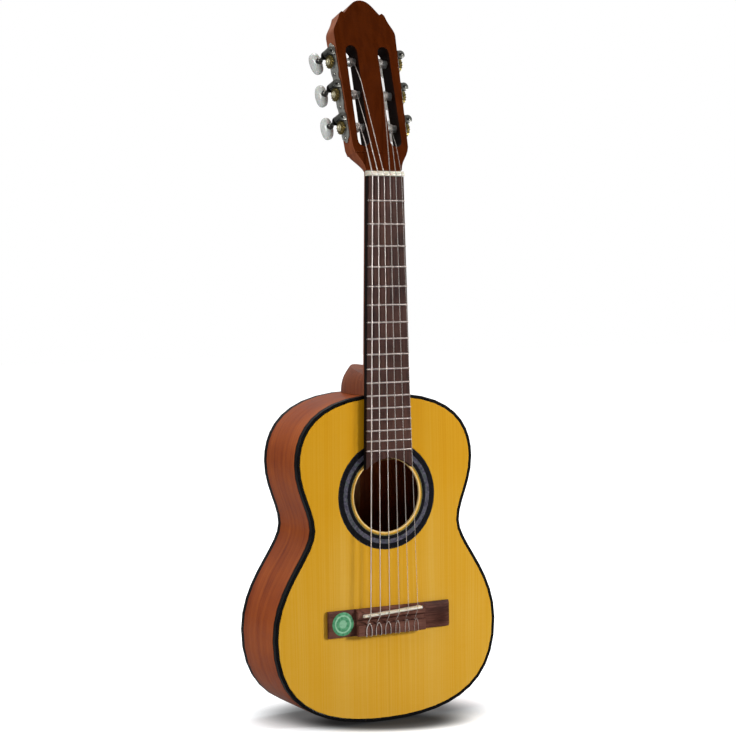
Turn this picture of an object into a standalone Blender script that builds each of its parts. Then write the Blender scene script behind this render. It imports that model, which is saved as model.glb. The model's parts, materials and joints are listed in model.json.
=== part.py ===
"""Quarter-size classical guitar, built as the separate pieces a luthier would glue and screw together.

Frame: origin at the tail, on the centreline, halfway between the frontmost string and the back.
+Z runs along the neck towards the head, the soundboard faces -Y, and the bass side is at -X.
Every driving dimension below is in millimetres and measured back from the soundboard's front
face; one empty carries all pieces into the frame. The model itself is in metres.
"""

from math import asin, atan, atan2, cos, hypot, pi, radians, sin

import bmesh
import bpy
from mathutils import Matrix, Vector

MM = 0.001
GAP = 0.3            # between neighbouring pieces
FINE_GAP = 0.1       # under frets and strings

# Strings and scale
SCALE_LENGTH = 440.0
BRIDGE_Z = 111.0     # where the scale length starts
NUT_Z = BRIDGE_Z + SCALE_LENGTH
SADDLE_MIDDLE_Z, SADDLE_SLANT = 112.4, 0.054     # the bass end is set back for intonation
FRETS = 17
SPREAD_NUT = 33.2
SPREAD_SADDLE = 54.2
STRING_DIAMETERS = (0.70, 0.82, 1.00, 0.75, 0.90, 1.10)

# Body outline, half widths and heights, with the lengths of its curve handles
BODY_LENGTH = 332.6
LOWER_HALF, LOWER_Z = 126.8, 93.0
WAIST_HALF, WAIST_Z = 84.6, 199.0
UPPER_HALF, UPPER_Z = 100.5, 264.7
TAIL_HANDLE, LOWER_HANDLE_DOWN, LOWER_HANDLE_UP = 71.0, 73.0, 51.0
WAIST_HANDLE_DOWN, WAIST_HANDLE_UP = 24.0, 19.0
UPPER_HANDLE_DOWN, UPPER_HANDLE_UP, NECK_HANDLE = 27.5, 31.5, 82.0

# Body box
DEPTH_TAIL, DEPTH_NECK = 85.5, 75.5
BACK_SLOPE = (DEPTH_TAIL - DEPTH_NECK) / BODY_LENGTH
TOP_THICKNESS, BACK_THICKNESS = 2.5, 3.0
RIB_THICKNESS = 3.2
BINDING_HEIGHT = 6.5
LINING_WIDTH, LINING_HEIGHT = 5.5, 12.0
BLOCK_HALF, TAIL_BLOCK_THICKNESS, BLOCK_CLEARANCE = 22.0, 13.8, 1.2
INSIDE = RIB_THICKNESS + GAP         # from the outline in to the plates and linings

# Braces
BRACE_INSET = INSIDE + LINING_WIDTH + 2 * GAP
BRACE_REACH = 110.0  # longer than half the body's width; trimmed to its outline
HARMONIC_BAR_WIDTH, HARMONIC_BAR_HEIGHT, HARMONIC_BAR_OFFSET = 7.0, 14.0, 50.0
HOLE_BAR_X, HOLE_BAR_WIDTH, HOLE_BAR_HEIGHT = 57.0, 8.0, 5.0
FAN_STRUTS, FAN_STEP, FAN_PIVOT = 5, radians(8.0), 90.0
FAN_WIDTH, FAN_HEIGHT, FAN_TAIL_Z = 5.0, 6.0, 24.0
SEAM_STRIP_WIDTH, SEAM_STRIP_HEIGHT, SEAM_STRIP_LOW, SEAM_STRIP_HIGH = 16.0, 2.0, 24.0, 298.0
BACK_BARS_Z, BACK_BAR_WIDTH, BACK_BAR_HEIGHT = (75.0, 165.0, 262.0), 6.0, 13.0

# Soundhole and rosette
HOLE_Z, HOLE_RADIUS = 229.8, 37.6
ROSETTE_INNER, ROSETTE_OUTER, ROSETTE_THICKNESS = 40.5, 55.0, 0.8

# Neck, fingerboard and heel
NUT_HALF, TWELFTH_HALF = 20.4, 25.0
BOARD_THICKNESS = 5.9
FRET_CROWN, FRET_WIDTH = 1.0, 1.9
FRET_SLOT_WIDTH, FRET_SLOT_DEPTH, TANG_WIDTH, TANG_DEPTH = 0.8, 2.0, 0.4, 1.6
NECK_DEPTH_NUT, NECK_DEPTH_BODY, NECK_ROUNDNESS = 15.0, 17.0, 1.15
HEEL_HEIGHT, HEEL_HALF, HEEL_DROP, HEEL_INSET = 27.6, 24.6, 10.0, 0.6
HEEL_VANISHING, HEEL_LEAN = 50.0, 2.5           # where its depth would reach nothing, and how late
HEEL_CROWN, HEEL_SHOULDER = 31.5, 4.0           # the same for its width
HEEL_ROUNDNESS, HEEL_KEEL = 0.67, 0.40          # of its slices at the body, and what the top adds
HEEL_SHARES = (0.12, 0.3, 0.48, 0.64, 0.78, 0.88, 0.95, 1.0)    # of its height, where it is sliced
WEB_HALF, WEB_OVERLAP, FOOT_LENGTH = 12.0, 0.5, 27.4
NUT_THICKNESS, NUT_HEIGHT, NUT_CREST, NUT_REAR = 5.0, 8.3, 1.8, 5.6

# Head, measured from the front edge of its face upwards
HEAD_TILT = radians(15.0)
HEAD_START = 1.0
HEAD_THICKNESS = 18.0
HEAD_RISE = 3.0
HEAD_ROOT = ((1.0, 0.95), (5.0, 0.75), (9.0, 0.52), (13.0, 0.32), (17.0, 0.16), (21.0, 0.06))
HEAD_SIDE_LOW = (31.5, 26.0)
HEAD_SIDE_HIGH = (35.5, 146.0)
HEAD_WAIST_HANDLES = ((21.5, 12.0), (29.0, 14.0))
SLOT_X, SLOT_HALF, SLOT_LOW, SLOT_HIGH = 18.3, 6.5, 25.5, 133.0
STRING_DIPS = ((17.3, 27.5), (13.6, 46.0), (12.8, 96.0))    # where strings sink into their slot

# Tuning machines
ROLLER_PITCH, FIRST_ROLLER, ROLLER_DEPTH = 35.0, 47.9, 9.5
ROLLER_RADIUS, ROLLER_LENGTH, SPIGOT_RADIUS, SPIGOT_OVERHANG = 4.0, 28.0, 2.0, 0.8
STRING_HOLE_RADIUS, STRING_HOLE_PLACE = 0.8, 15.0
PLATE_THICKNESS, PLATE_HALF_WIDTH = 1.2, 7.9
PLATE_LOW, PLATE_HIGH = -16.0, 90.0
TEETH, MODULE = 14, 0.9
LEAD = pi * MODULE
GEAR_ROOT, GEAR_TIP, GEAR_THICKNESS = 5.6, 6.9, 3.0
TOOTH_ROOT_HALF, TOOTH_TIP_HALF = 1.05, 0.20
GEAR_PITCH_RADIUS = TEETH * MODULE / 2
WORM_ROOT, WORM_CREST, WORM_PITCH_RADIUS = 2.0, 3.2, 2.7
WORM_CENTRES = 9.1
GEAR_OUT = 5.0       # middle of the gear, out from the side of the head
KEY_SHAFT_RADIUS, BUTTON_DEPTH = 1.8, 40.0
BUTTON_SIZE = (12.0, 6.0, 8.0)
EAR_THICKNESS, EAR_HALF = 1.8, 3.0

# Bridge
BRIDGE_HALF = 69.5
BRIDGE_TOP, BRIDGE_BOTTOM = BRIDGE_Z + 6.3, BRIDGE_Z - 20.6
RIDGE_LOW, TROUGH_LOW = BRIDGE_Z - 5.0, BRIDGE_Z - 9.5
RIDGE_HEIGHT, TROUGH_HEIGHT, TIE_HEIGHT = 8.2, 4.6, 9.0
WING_THICKNESS, WING_RIM, WING_SLOPE, TIE_HALF = 3.3, 2.3, 2.5, 38.5
TIE_HOLE_HEIGHT, TIE_HOLE_RADIUS = 5.6, 0.8
SADDLE_HALF, SADDLE_THICKNESS, SADDLE_HEIGHT = 33.4, 2.8, 12.5

SIDES = {-1: "bass", 1: "treble"}
STRINGS_FROM_NUT = {-1: (6, 5, 4), 1: (1, 2, 3)}
PARTS = "classical_guitar"
CUTTERS = "classical_guitar_cutters"


# ---------------------------------------------------------------- scene and materials

def clear_scene():
    for old in list(bpy.data.objects):
        bpy.data.objects.remove(old, do_unlink=True)


def collection(name):
    made = bpy.data.collections.new(name)
    bpy.context.scene.collection.children.link(made)
    return made


def linear(channel):
    value = channel / 255.0
    return value / 12.92 if value <= 0.04045 else ((value + 0.055) / 1.055) ** 2.4


def material(name, rgb, roughness, metallic=0.0):
    made = bpy.data.materials.new(name)
    made.use_nodes = True
    shader = made.node_tree.nodes["Principled BSDF"]
    shader.inputs["Base Color"].default_value = (*(linear(c) for c in rgb), 1.0)
    shader.inputs["Roughness"].default_value = roughness
    shader.inputs["Metallic"].default_value = metallic
    return made


def make_materials():
    return {
        "spruce": material("spruce", (212, 160, 52), 0.30),
        "mahogany": material("mahogany", (146, 76, 40), 0.35),
        "head_wood": material("head_wood", (82, 34, 12), 0.25),
        "rosewood": material("rosewood", (62, 38, 34), 0.50),
        "cedar": material("cedar", (176, 128, 84), 0.70),
        "black_binding": material("black_binding", (18, 18, 20), 0.25),
        "rosette": material("rosette", (52, 54, 64), 0.35),
        "bone": material("bone", (236, 230, 212), 0.35),
        "nickel": material("nickel", (190, 188, 184), 0.25, 1.0),
        "brass": material("brass", (186, 150, 80), 0.30, 1.0),
        "plated_steel": material("plated_steel", (150, 150, 152), 0.30, 1.0),
        "wound_string": material("wound_string", (196, 186, 176), 0.35, 0.8),
        "nylon": material("nylon", (214, 204, 190), 0.25),
        "pearloid": material("pearloid", (228, 230, 224), 0.20),
    }


# ---------------------------------------------------------------- objects

def link_part(obj, mat, parent=None):
    PARTS_COLLECTION.objects.link(obj)
    obj.data.materials.clear()
    obj.data.materials.append(MATERIALS[mat])
    obj.parent = parent or SOUNDBOARD_FRAME
    return obj


def link_cutter(obj, parent=None):
    CUTTER_COLLECTION.objects.link(obj)
    obj.display_type = "WIRE"
    obj.hide_render = True
    obj.parent = parent or SOUNDBOARD_FRAME
    return obj


def mesh_object(name, bm):
    bmesh.ops.recalc_face_normals(bm, faces=bm.faces)
    mesh = bpy.data.meshes.new(name)
    bm.to_mesh(mesh)
    bm.free()
    return bpy.data.objects.new(name, mesh)


def smooth(obj, angle=30.0):
    obj.data.shade_smooth()
    obj.data.set_sharp_from_angle(angle=radians(angle))
    return obj


def frame(name, location, rotation, parent=None):
    """An empty that carries pieces in a tilted frame."""
    empty = bpy.data.objects.new(name, None)
    PARTS_COLLECTION.objects.link(empty)
    empty.location = Vector(location) * MM
    empty.rotation_euler = rotation
    empty.parent = parent
    return empty


def evaluated_mesh(obj):
    bpy.context.view_layer.update()
    graph = bpy.context.evaluated_depsgraph_get()
    return bpy.data.meshes.new_from_object(obj.evaluated_get(graph))


def welded(obj):
    """A mesh object in place of a curve, with its loose caps joined to its walls."""
    bpy.context.scene.collection.objects.link(obj)
    mesh = evaluated_mesh(obj)
    bm = bmesh.new()
    bm.from_mesh(mesh)
    bmesh.ops.remove_doubles(bm, verts=bm.verts, dist=0.000002)
    bmesh.ops.recalc_face_normals(bm, faces=bm.faces)
    bm.to_mesh(mesh)
    bm.free()
    name = obj.name
    made = bpy.data.objects.new(name + "_solid", mesh)
    made.matrix_world = obj.matrix_world.copy()
    bpy.data.objects.remove(obj, do_unlink=True)
    made.name = name
    return made


def flat(name, loops, thickness):
    """A plate in its local XY plane, centred on it; loops after the first are holes."""
    curve = bpy.data.curves.new(name, "CURVE")
    curve.dimensions = "2D"
    curve.fill_mode = "BOTH"
    curve.extrude = thickness * MM / 2
    for loop in loops:
        spline = curve.splines.new("POLY")
        spline.points.add(len(loop) - 1)
        for point, (x, y) in zip(spline.points, loop):
            point.co = (x * MM, y * MM, 0.0, 1.0)
        spline.use_cyclic_u = True
    return welded(bpy.data.objects.new(name, curve))


def plate_xz(name, loops, front, back):
    """A flat outline drawn in X and Z, between two distances behind the soundboard plane."""
    obj = flat(name, loops, back - front)
    obj.rotation_euler = (pi / 2, 0.0, 0.0)
    obj.location = (0.0, (front + back) / 2 * MM, 0.0)
    return obj


def bar_x(name, profile, half_length):
    """A profile drawn in Y and Z, run along X and centred on it."""
    obj = flat(name, [profile], 2 * half_length)
    obj.rotation_euler = (pi / 2, 0.0, pi / 2)
    return obj


def box(name, low, high):
    bm = bmesh.new()
    bmesh.ops.create_cube(bm, size=1.0)
    size = Vector(high) - Vector(low)
    bmesh.ops.scale(bm, vec=size * MM, verts=bm.verts)
    obj = mesh_object(name, bm)
    obj.location = (Vector(low) + Vector(high)) / 2 * MM
    return obj


def rod(name, radius, start, end, segments=12):
    """A cylinder between two points."""
    a, b = Vector(start), Vector(end)
    bm = bmesh.new()
    bmesh.ops.create_cone(
        bm, cap_ends=True, segments=segments, radius1=radius * MM, radius2=radius * MM,
        depth=(b - a).length * MM,
    )
    turn = Vector((0, 0, 1)).rotation_difference(b - a).to_matrix().to_4x4()
    bmesh.ops.transform(bm, matrix=turn, verts=bm.verts)
    obj = mesh_object(name, bm)
    obj.location = (a + b) / 2 * MM
    return obj


def loft(name, sections):
    """Closed rings with equal numbers of points, skinned and capped."""
    bm = bmesh.new()
    rings = [[bm.verts.new(Vector(p) * MM) for p in ring] for ring in sections]
    count = len(rings[0])
    for lower, upper in zip(rings, rings[1:]):
        for i in range(count):
            j = (i + 1) % count
            bm.faces.new((lower[i], lower[j], upper[j], upper[i]))
    bm.faces.new(rings[0])
    bm.faces.new(rings[-1])
    return mesh_object(name, bm)


def boolean(obj, other, operation, parent=None):
    """Cut, join or intersect with a piece that is kept as a hidden guide."""
    if other.name not in CUTTER_COLLECTION.objects:
        link_cutter(other, parent)
    modifier = obj.modifiers.new(operation.lower(), "BOOLEAN")
    modifier.operation = operation
    modifier.solver = "EXACT"
    modifier.object = other
    return obj


def baked(obj):
    """The mesh of an object with its modifiers applied, for pieces that share one mesh."""
    bpy.context.scene.collection.objects.link(obj)
    obj.parent = SOUNDBOARD_FRAME
    mesh = evaluated_mesh(obj)
    bpy.data.objects.remove(obj, do_unlink=True)
    mesh.shade_smooth()
    mesh.set_sharp_from_angle(angle=radians(35.0))
    return mesh


# ---------------------------------------------------------------- outlines

def bezier(p0, p1, p2, p3, steps):
    """Points of a cubic curve, without its last one."""
    points = []
    for i in range(steps):
        t = i / steps
        weights = ((1 - t) ** 3, 3 * t * (1 - t) ** 2, 3 * t * t * (1 - t), t ** 3)
        points.append(tuple(
            sum(w * p[axis] for w, p in zip(weights, (p0, p1, p2, p3))) for axis in (0, 1)
        ))
    return points


def mirrored(half):
    """A closed loop from its right half, whose points on the centreline are used once."""
    return half + [(-x, z) for x, z in reversed(half) if x > 0.0]


def circle(radius, z, steps):
    turns = [2 * pi * i / steps for i in range(steps)]
    return [(radius * sin(a), z + radius * cos(a)) for a in turns]


def body_outline(inset):
    lower, waist, upper = (LOWER_HALF, LOWER_Z), (WAIST_HALF, WAIST_Z), (UPPER_HALF, UPPER_Z)
    half = bezier((0, 0), (TAIL_HANDLE, 0), (LOWER_HALF, LOWER_Z - LOWER_HANDLE_DOWN), lower, 11)
    half += bezier(lower, (LOWER_HALF, LOWER_Z + LOWER_HANDLE_UP),
                   (WAIST_HALF, WAIST_Z - WAIST_HANDLE_DOWN), waist, 9)
    half += bezier(waist, (WAIST_HALF, WAIST_Z + WAIST_HANDLE_UP),
                   (UPPER_HALF, UPPER_Z - UPPER_HANDLE_DOWN), upper, 6)
    half += bezier(upper, (UPPER_HALF, UPPER_Z + UPPER_HANDLE_UP),
                   (NECK_HANDLE, BODY_LENGTH), (0, BODY_LENGTH), 10)
    loop = mirrored(half + [(0, BODY_LENGTH)])
    inner = []
    for before, here, after in zip(loop[-1:] + loop[:-1], loop, loop[1:] + loop[:1]):
        dx, dz = after[0] - before[0], after[1] - before[1]
        length = hypot(dx, dz)
        inner.append((here[0] - inset * dz / length, here[1] + inset * dx / length))
    return inner


def head_outline():
    low, high = HEAD_SIDE_LOW, HEAD_SIDE_HIGH
    shoulder, bump, notch, crest = (25.8, 167.5), (23.2, 169.6), (20.2, 168.0), (0.0, 182.6)
    half = bezier((NUT_HALF, HEAD_START), *HEAD_WAIST_HANDLES, low, 6)
    half += [low]
    half += bezier(high, (35.2, 153.0), (29.5, 156.0), shoulder, 6)
    half += [shoulder, bump]
    half += bezier(notch, (14.0, 174.0), (10.0, crest[1]), crest, 8)
    return mirrored(half + [crest])


def slot_outline(side):
    end_low, end_high = SLOT_LOW + SLOT_HALF, SLOT_HIGH - SLOT_HALF
    turns = [pi * i / 8 for i in range(9)]
    loop = [(SLOT_HALF * cos(a), end_high + SLOT_HALF * sin(a)) for a in turns]
    loop += [(-SLOT_HALF * cos(a), end_low - SLOT_HALF * sin(a)) for a in turns]
    return [(side * SLOT_X + x, z) for x, z in loop]


def board_half(z):
    """Half the fingerboard's width at a height."""
    twelfth = fret_z(12)
    return NUT_HALF + (TWELFTH_HALF - NUT_HALF) * (NUT_Z - z) / (NUT_Z - twelfth)


def fret_z(number):
    return BRIDGE_Z + SCALE_LENGTH * 2 ** (-number / 12)


def string_x(number, z):
    """Across the neck, from string 1 at the treble side to string 6 at the bass side."""
    share = (z - BRIDGE_Z) / SCALE_LENGTH
    spread = SPREAD_SADDLE + (SPREAD_NUT - SPREAD_SADDLE) * share
    return spread * (0.5 - (number - 1) / 5)


# ---------------------------------------------------------------- body box

def behind_back(depth):
    """A block that fills everything behind a plane set into the back by a depth."""
    block = box("behind_back_%d" % round(depth * 10), (-200, 0, -300), (200, 200, 700))
    block.rotation_euler = (atan2(BACK_SLOPE, 1.0), 0.0, 0.0)
    normal = Vector((0.0, 1.0, BACK_SLOPE)).normalized()
    surface = Vector((0.0, DEPTH_TAIL, 0.0)) - normal * depth
    block.location = (surface + normal * 100.0) * MM
    return block


def ring(name, outer, inner, front, back):
    return plate_xz(name, [body_outline(outer), body_outline(inner)], front, back)


def between_back(obj, shallow, deep):
    """Keep only what lies between two depths in from the back's outer face."""
    boolean(obj, behind_back(deep), "INTERSECT")
    return boolean(obj, behind_back(shallow), "DIFFERENCE")


def make_body():
    deep = DEPTH_TAIL + 10

    soundboard = plate_xz(
        "soundboard", [body_outline(INSIDE), circle(HOLE_RADIUS, HOLE_Z, 40)], 0, TOP_THICKNESS
    )
    groove = plate_xz(
        "rosette_groove",
        [circle(ROSETTE_OUTER + GAP, HOLE_Z, 40), circle(ROSETTE_INNER - GAP, HOLE_Z, 40)],
        -1.0, ROSETTE_THICKNESS + GAP,
    )
    link_part(boolean(soundboard, groove, "DIFFERENCE"), "spruce")
    rosette = plate_xz(
        "rosette", [circle(ROSETTE_OUTER, HOLE_Z, 40), circle(ROSETTE_INNER, HOLE_Z, 40)],
        0, ROSETTE_THICKNESS,
    )
    link_part(rosette, "rosette")

    back = plate_xz("back", [body_outline(INSIDE)], 50, deep)
    link_part(between_back(back, 0, BACK_THICKNESS), "mahogany")

    binding_top = ring("binding_top", 0, RIB_THICKNESS, 0, BINDING_HEIGHT)
    link_part(binding_top, "black_binding")
    binding_back = ring("binding_back", 0, RIB_THICKNESS, 50, deep)
    link_part(between_back(binding_back, 0, BINDING_HEIGHT), "black_binding")

    for name, side in (("rib_bass", -1), ("rib_treble", 1)):
        rib = ring(name, 0, RIB_THICKNESS, BINDING_HEIGHT + GAP, deep)
        other_half = box(name + "_other_half", (-150, -20, -20), (GAP / 2, 120, BODY_LENGTH + 20))
        neck_gap = box(name + "_neck_gap", (-WEB_HALF - GAP, -20, 250), (WEB_HALF + GAP, 120, 400))
        if side < 0:
            other_half.location.x = -other_half.location.x
        boolean(rib, behind_back(BINDING_HEIGHT + GAP), "DIFFERENCE")
        boolean(rib, other_half, "DIFFERENCE")
        link_part(boolean(rib, neck_gap, "DIFFERENCE"), "mahogany")

    foot_gap = box("foot_gap", (-BLOCK_HALF - GAP, -20, 250), (BLOCK_HALF + GAP, 120, 400))
    lining_front = TOP_THICKNESS + GAP
    lining_top = ring("lining_top", INSIDE, INSIDE + LINING_WIDTH,
                      lining_front, lining_front + LINING_HEIGHT)
    link_part(boolean(lining_top, foot_gap, "DIFFERENCE"), "cedar")
    lining_back = ring("lining_back", INSIDE, INSIDE + LINING_WIDTH, 50, deep)
    between_back(lining_back, BACK_THICKNESS + GAP, BACK_THICKNESS + GAP + LINING_HEIGHT)
    link_part(boolean(lining_back, foot_gap, "DIFFERENCE"), "cedar")

    make_tail_block()
    make_top_bracing()
    make_back_bracing()


def make_tail_block():
    """The block rests on both plates and is rebated where the linings pass it."""
    foot = INSIDE + BLOCK_CLEARANCE
    rebate = foot + LINING_WIDTH
    clear = LINING_HEIGHT + 2 * GAP
    top = foot + TAIL_BLOCK_THICKNESS
    front = TOP_THICKNESS + GAP
    rear = DEPTH_TAIL - BACK_THICKNESS - 3 * GAP - BACK_SLOPE * top
    profile = [
        (front, rebate), (front, top), (rear, top), (rear, rebate),
        (rear - clear, rebate), (rear - clear, foot),
        (front + clear, foot), (front + clear, rebate),
    ]
    link_part(bar_x("tail_block", profile, BLOCK_HALF), "cedar")


def brace_trim(name):
    return plate_xz(name, [body_outline(BRACE_INSET)], -20, 120)


def make_top_bracing():
    """Two harmonic bars, two bars beside the soundhole and five fan struts, glued as one lattice."""
    front = TOP_THICKNESS + GAP
    low_bar, high_bar = HOLE_Z - HARMONIC_BAR_OFFSET, HOLE_Z + HARMONIC_BAR_OFFSET

    def bar(name, middle_x, half_x, low, high, height):
        return box(name, (middle_x - half_x, front, low), (middle_x + half_x, front + height, high))

    def harmonic_bar(name, z, height):
        half = HARMONIC_BAR_WIDTH / 2
        return bar(name, 0.0, BRACE_REACH, z - half, z + half, height)

    lattice = harmonic_bar("top_bracing", low_bar, HARMONIC_BAR_HEIGHT)
    upper = harmonic_bar("upper_harmonic_bar", high_bar, HARMONIC_BAR_HEIGHT - 1.0)
    boolean(lattice, upper, "UNION")
    for side, label in SIDES.items():
        hole_bar = bar("hole_bar_" + label, side * HOLE_BAR_X, HOLE_BAR_WIDTH / 2,
                       low_bar, high_bar, HOLE_BAR_HEIGHT)
        boolean(lattice, hole_bar, "UNION")
    length, pivot = low_bar - FAN_TAIL_Z, Vector((0.0, 0.0, low_bar + FAN_PIVOT))
    for i in range(FAN_STRUTS):
        angle = FAN_STEP * (i - (FAN_STRUTS - 1) / 2)
        strut = bar("fan_strut_%d" % (i + 1), 0.0, FAN_WIDTH / 2, -length, 0.0, FAN_HEIGHT)
        offset = Vector((0.0, front + FAN_HEIGHT / 2, -length / 2 - FAN_PIVOT))
        strut.location = (pivot + Matrix.Rotation(angle, 4, "Y") @ offset) * MM
        strut.rotation_euler = (0.0, angle, 0.0)
        boolean(lattice, strut, "UNION")
    boolean(lattice, brace_trim("top_bracing_trim"), "INTERSECT")
    link_part(lattice, "spruce")


def make_back_bracing():
    """A centre seam strip with three cross bars notched over it, glued as one."""
    inner = BACK_THICKNESS + GAP
    turn = atan2(BACK_SLOPE, 1.0)
    normal = Vector((0.0, cos(turn), sin(turn)))
    along = Vector((0.0, -sin(turn), cos(turn)))

    def on_back(name, width, low, high, height):
        bar = box(name, (-width / 2, -height, low), (width / 2, 0.0, high))
        centre = Vector((0.0, DEPTH_TAIL, 0.0)) + along * (low + high) / 2
        bar.location = (centre - normal * (inner + height / 2)) * MM
        bar.rotation_euler = (turn, 0.0, 0.0)
        return bar

    strip = on_back("back_bracing", SEAM_STRIP_WIDTH, SEAM_STRIP_LOW, SEAM_STRIP_HIGH,
                    SEAM_STRIP_HEIGHT)
    half = BACK_BAR_WIDTH / 2
    for i, z in enumerate(BACK_BARS_Z):
        bar = on_back("back_bar_%d" % (i + 1), 2 * BRACE_REACH, z - half, z + half, BACK_BAR_HEIGHT)
        boolean(strip, bar, "UNION")
    boolean(strip, brace_trim("back_bracing_trim"), "INTERSECT")
    link_part(strip, "cedar")


# ---------------------------------------------------------------- neck, fingerboard and frets

def arch(half, depth, roundness, steps=12):
    """Half a section, from one side round the back to the other, its flat side open.

    A roundness of 1 gives half an ellipse, more a leaner V, and values near 0 a squarer one.
    """
    points = []
    for i in range(steps + 1):
        angle = pi * i / steps
        side = 1 if cos(angle) >= 0 else -1
        points.append((side * half * abs(cos(angle)) ** roundness, depth * sin(angle) ** roundness))
    return points


def neck_section(z):
    """The shaft's lean section, flat side against the fingerboard."""
    share = (NUT_Z - z) / (NUT_Z - BODY_LENGTH)
    depth = NECK_DEPTH_NUT + (NECK_DEPTH_BODY - NECK_DEPTH_NUT) * share
    return [(x, y, z) for x, y in arch(board_half(z), depth, NECK_ROUNDNESS)]


def heel_section(height, base):
    """A slice across the heel at a height above the body; its back and sides close in as it rises."""
    rise = max(height, 0.0)
    share = rise / HEEL_HEIGHT
    reach = (DEPTH_NECK - GAP - HEEL_INSET) * remaining(rise, HEEL_VANISHING, HEEL_LEAN)
    half = HEEL_HALF * remaining(rise, HEEL_CROWN, HEEL_SHOULDER)
    roundness = HEEL_ROUNDNESS + HEEL_KEEL * share ** 2
    drop = HEEL_DROP * share
    return [
        (x, y + HEEL_INSET, base + height - drop * (1.0 - y / reach))
        for x, y in arch(half, reach, roundness, 16)
    ]


def remaining(rise, vanishing, lateness):
    """The share left of a size that closes in to nothing, the later the steeper."""
    return (1.0 - (rise / vanishing) ** lateness) ** (1.0 / lateness)


def head_root_section(z, roundness):
    """Across the head near the nut, where the neck's round back squares up."""
    skin = 0.02
    section = arch(head_half_near_nut(z) - skin, HEAD_THICKNESS - 2 * skin, roundness, 16)
    return [(x, y + skin, z) for x, y in section]


def head_half_near_nut(z):
    """Half the head's width where it swells from the nut, between the points of its outline."""
    points = [(x, height) for x, height in head_outline() if x > 0.0]
    for (x0, z0), (x1, z1) in zip(points, points[1:]):
        if z0 <= z <= z1:
            return x0 + (x1 - x0) * (z - z0) / (z1 - z0)
    return NUT_HALF


def make_neck(head, machines):
    """Shaft, heel and head in one piece, with a web and a foot that reach inside the box."""
    root = BODY_LENGTH + GAP
    low = BODY_LENGTH - 4.0
    heights = [low + i * (NUT_Z + 10.0 - low) / 6 for i in range(7)]
    neck = loft("neck", [neck_section(z) for z in heights])
    levels = [low - root, 0.0] + [share * HEEL_HEIGHT for share in HEEL_SHARES]
    boolean(neck, loft("heel", [heel_section(height, root) for height in levels]), "UNION")
    boolean(neck, plate_xz("body_clearance", [body_outline(-GAP)], -5, 120), "DIFFERENCE")

    back_limit = DEPTH_NECK - BINDING_HEIGHT - GAP
    web = box("heel_web", (-WEB_HALF, BINDING_HEIGHT + GAP, BODY_LENGTH - 12),
              (WEB_HALF, back_limit, root + WEB_OVERLAP))
    boolean(neck, web, "UNION")
    foot_top = BODY_LENGTH - RIB_THICKNESS - BLOCK_CLEARANCE - GAP
    foot = box("heel_foot", (-BLOCK_HALF, TOP_THICKNESS + GAP, foot_top - FOOT_LENGTH),
               (BLOCK_HALF, DEPTH_NECK - BACK_THICKNESS - 2 * GAP, foot_top))
    boolean(neck, foot, "UNION")

    swell = loft("head_root", [head_root_section(z, roundness) for z, roundness in HEAD_ROOT])
    boolean(neck, swell, "UNION", head)
    start = HEAD_ROOT[-1][0] - 1.0
    face = [(x, z) for x, z in head_outline() if z > start]
    half = head_half_near_nut(start)
    face = [(half, start)] + face + [(-half, start)]
    head_plate = plate_xz("head", [face, slot_outline(-1), slot_outline(1)], 0, HEAD_THICKNESS)
    boolean(neck, head_plate, "UNION", head)
    for side, machine in machines.items():
        for i in range(3):
            axle = ROLLER_PITCH * i
            bore = rod("roller_bore_%s_%d" % (SIDES[side], i + 1), ROLLER_RADIUS + GAP,
                       (side * 10, ROLLER_DEPTH, axle),
                       (-side * (ROLLER_LENGTH + 1.0), ROLLER_DEPTH, axle))
            boolean(neck, bore, "DIFFERENCE", machine)
    link_part(neck, "head_wood")


def make_fingerboard():
    """Ebony-dark board with a slot for each fret, hollowed at its end around the soundhole."""
    hole_clear = HOLE_RADIUS + 0.4
    half = board_half(HOLE_Z + HOLE_RADIUS)
    reach = asin(half / hole_clear)
    arc = [reach - 2 * reach * i / 12 for i in range(13)]
    loop = [(-NUT_HALF, NUT_Z - GAP), (NUT_HALF, NUT_Z - GAP)]
    loop += [(hole_clear * sin(a), HOLE_Z + hole_clear * cos(a)) for a in arc]
    board = plate_xz("fingerboard", [loop], -GAP - BOARD_THICKNESS, -GAP)
    for number in range(1, FRETS + 1):
        z = fret_z(number)
        top = -GAP - BOARD_THICKNESS
        slot = box("fret_slot_%02d" % number, (-40, top - 1, z - FRET_SLOT_WIDTH / 2),
                   (40, top + FRET_SLOT_DEPTH, z + FRET_SLOT_WIDTH / 2))
        boolean(board, slot, "DIFFERENCE")
    link_part(board, "rosewood")


def make_frets():
    """A crown with a tang that stands in the board's slot."""
    top = -GAP - BOARD_THICKNESS - FINE_GAP
    arc = [pi * i / 6 for i in range(7)]
    for number in range(1, FRETS + 1):
        z = fret_z(number)
        crown = [(top - FRET_CROWN * sin(a), z - FRET_WIDTH / 2 * cos(a)) for a in arc]
        upper, lower, deep = z + TANG_WIDTH / 2, z - TANG_WIDTH / 2, top + TANG_DEPTH
        tang = [(top, upper), (deep, upper), (deep, lower), (top, lower)]
        fret = bar_x("fret_%02d" % number, crown + tang, board_half(z) - 0.2)
        link_part(smooth(fret), "nickel")


def make_nut():
    low, high = NUT_Z, NUT_Z + NUT_THICKNESS
    nut = [
        (-GAP, low), (-GAP, high), (-NUT_REAR, high), (-NUT_REAR - 1.2, high - 0.6),
        (-NUT_HEIGHT, low + NUT_CREST), (-NUT_HEIGHT, low),
    ]
    link_part(bar_x("nut", nut, NUT_HALF), "bone")


def make_saddle(slant):
    """A strip with a round crown, stood in the bridge's slanting slot."""
    half = SADDLE_THICKNESS / 2
    crown = [pi * i / 4 for i in range(5)]
    saddle = [(-WING_THICKNESS, half), (-WING_THICKNESS, -half)]
    saddle += [(half - SADDLE_HEIGHT - half * sin(a), -half * cos(a)) for a in crown]
    link_part(smooth(bar_x("saddle", saddle, SADDLE_HALF)), "bone", slant)


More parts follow.
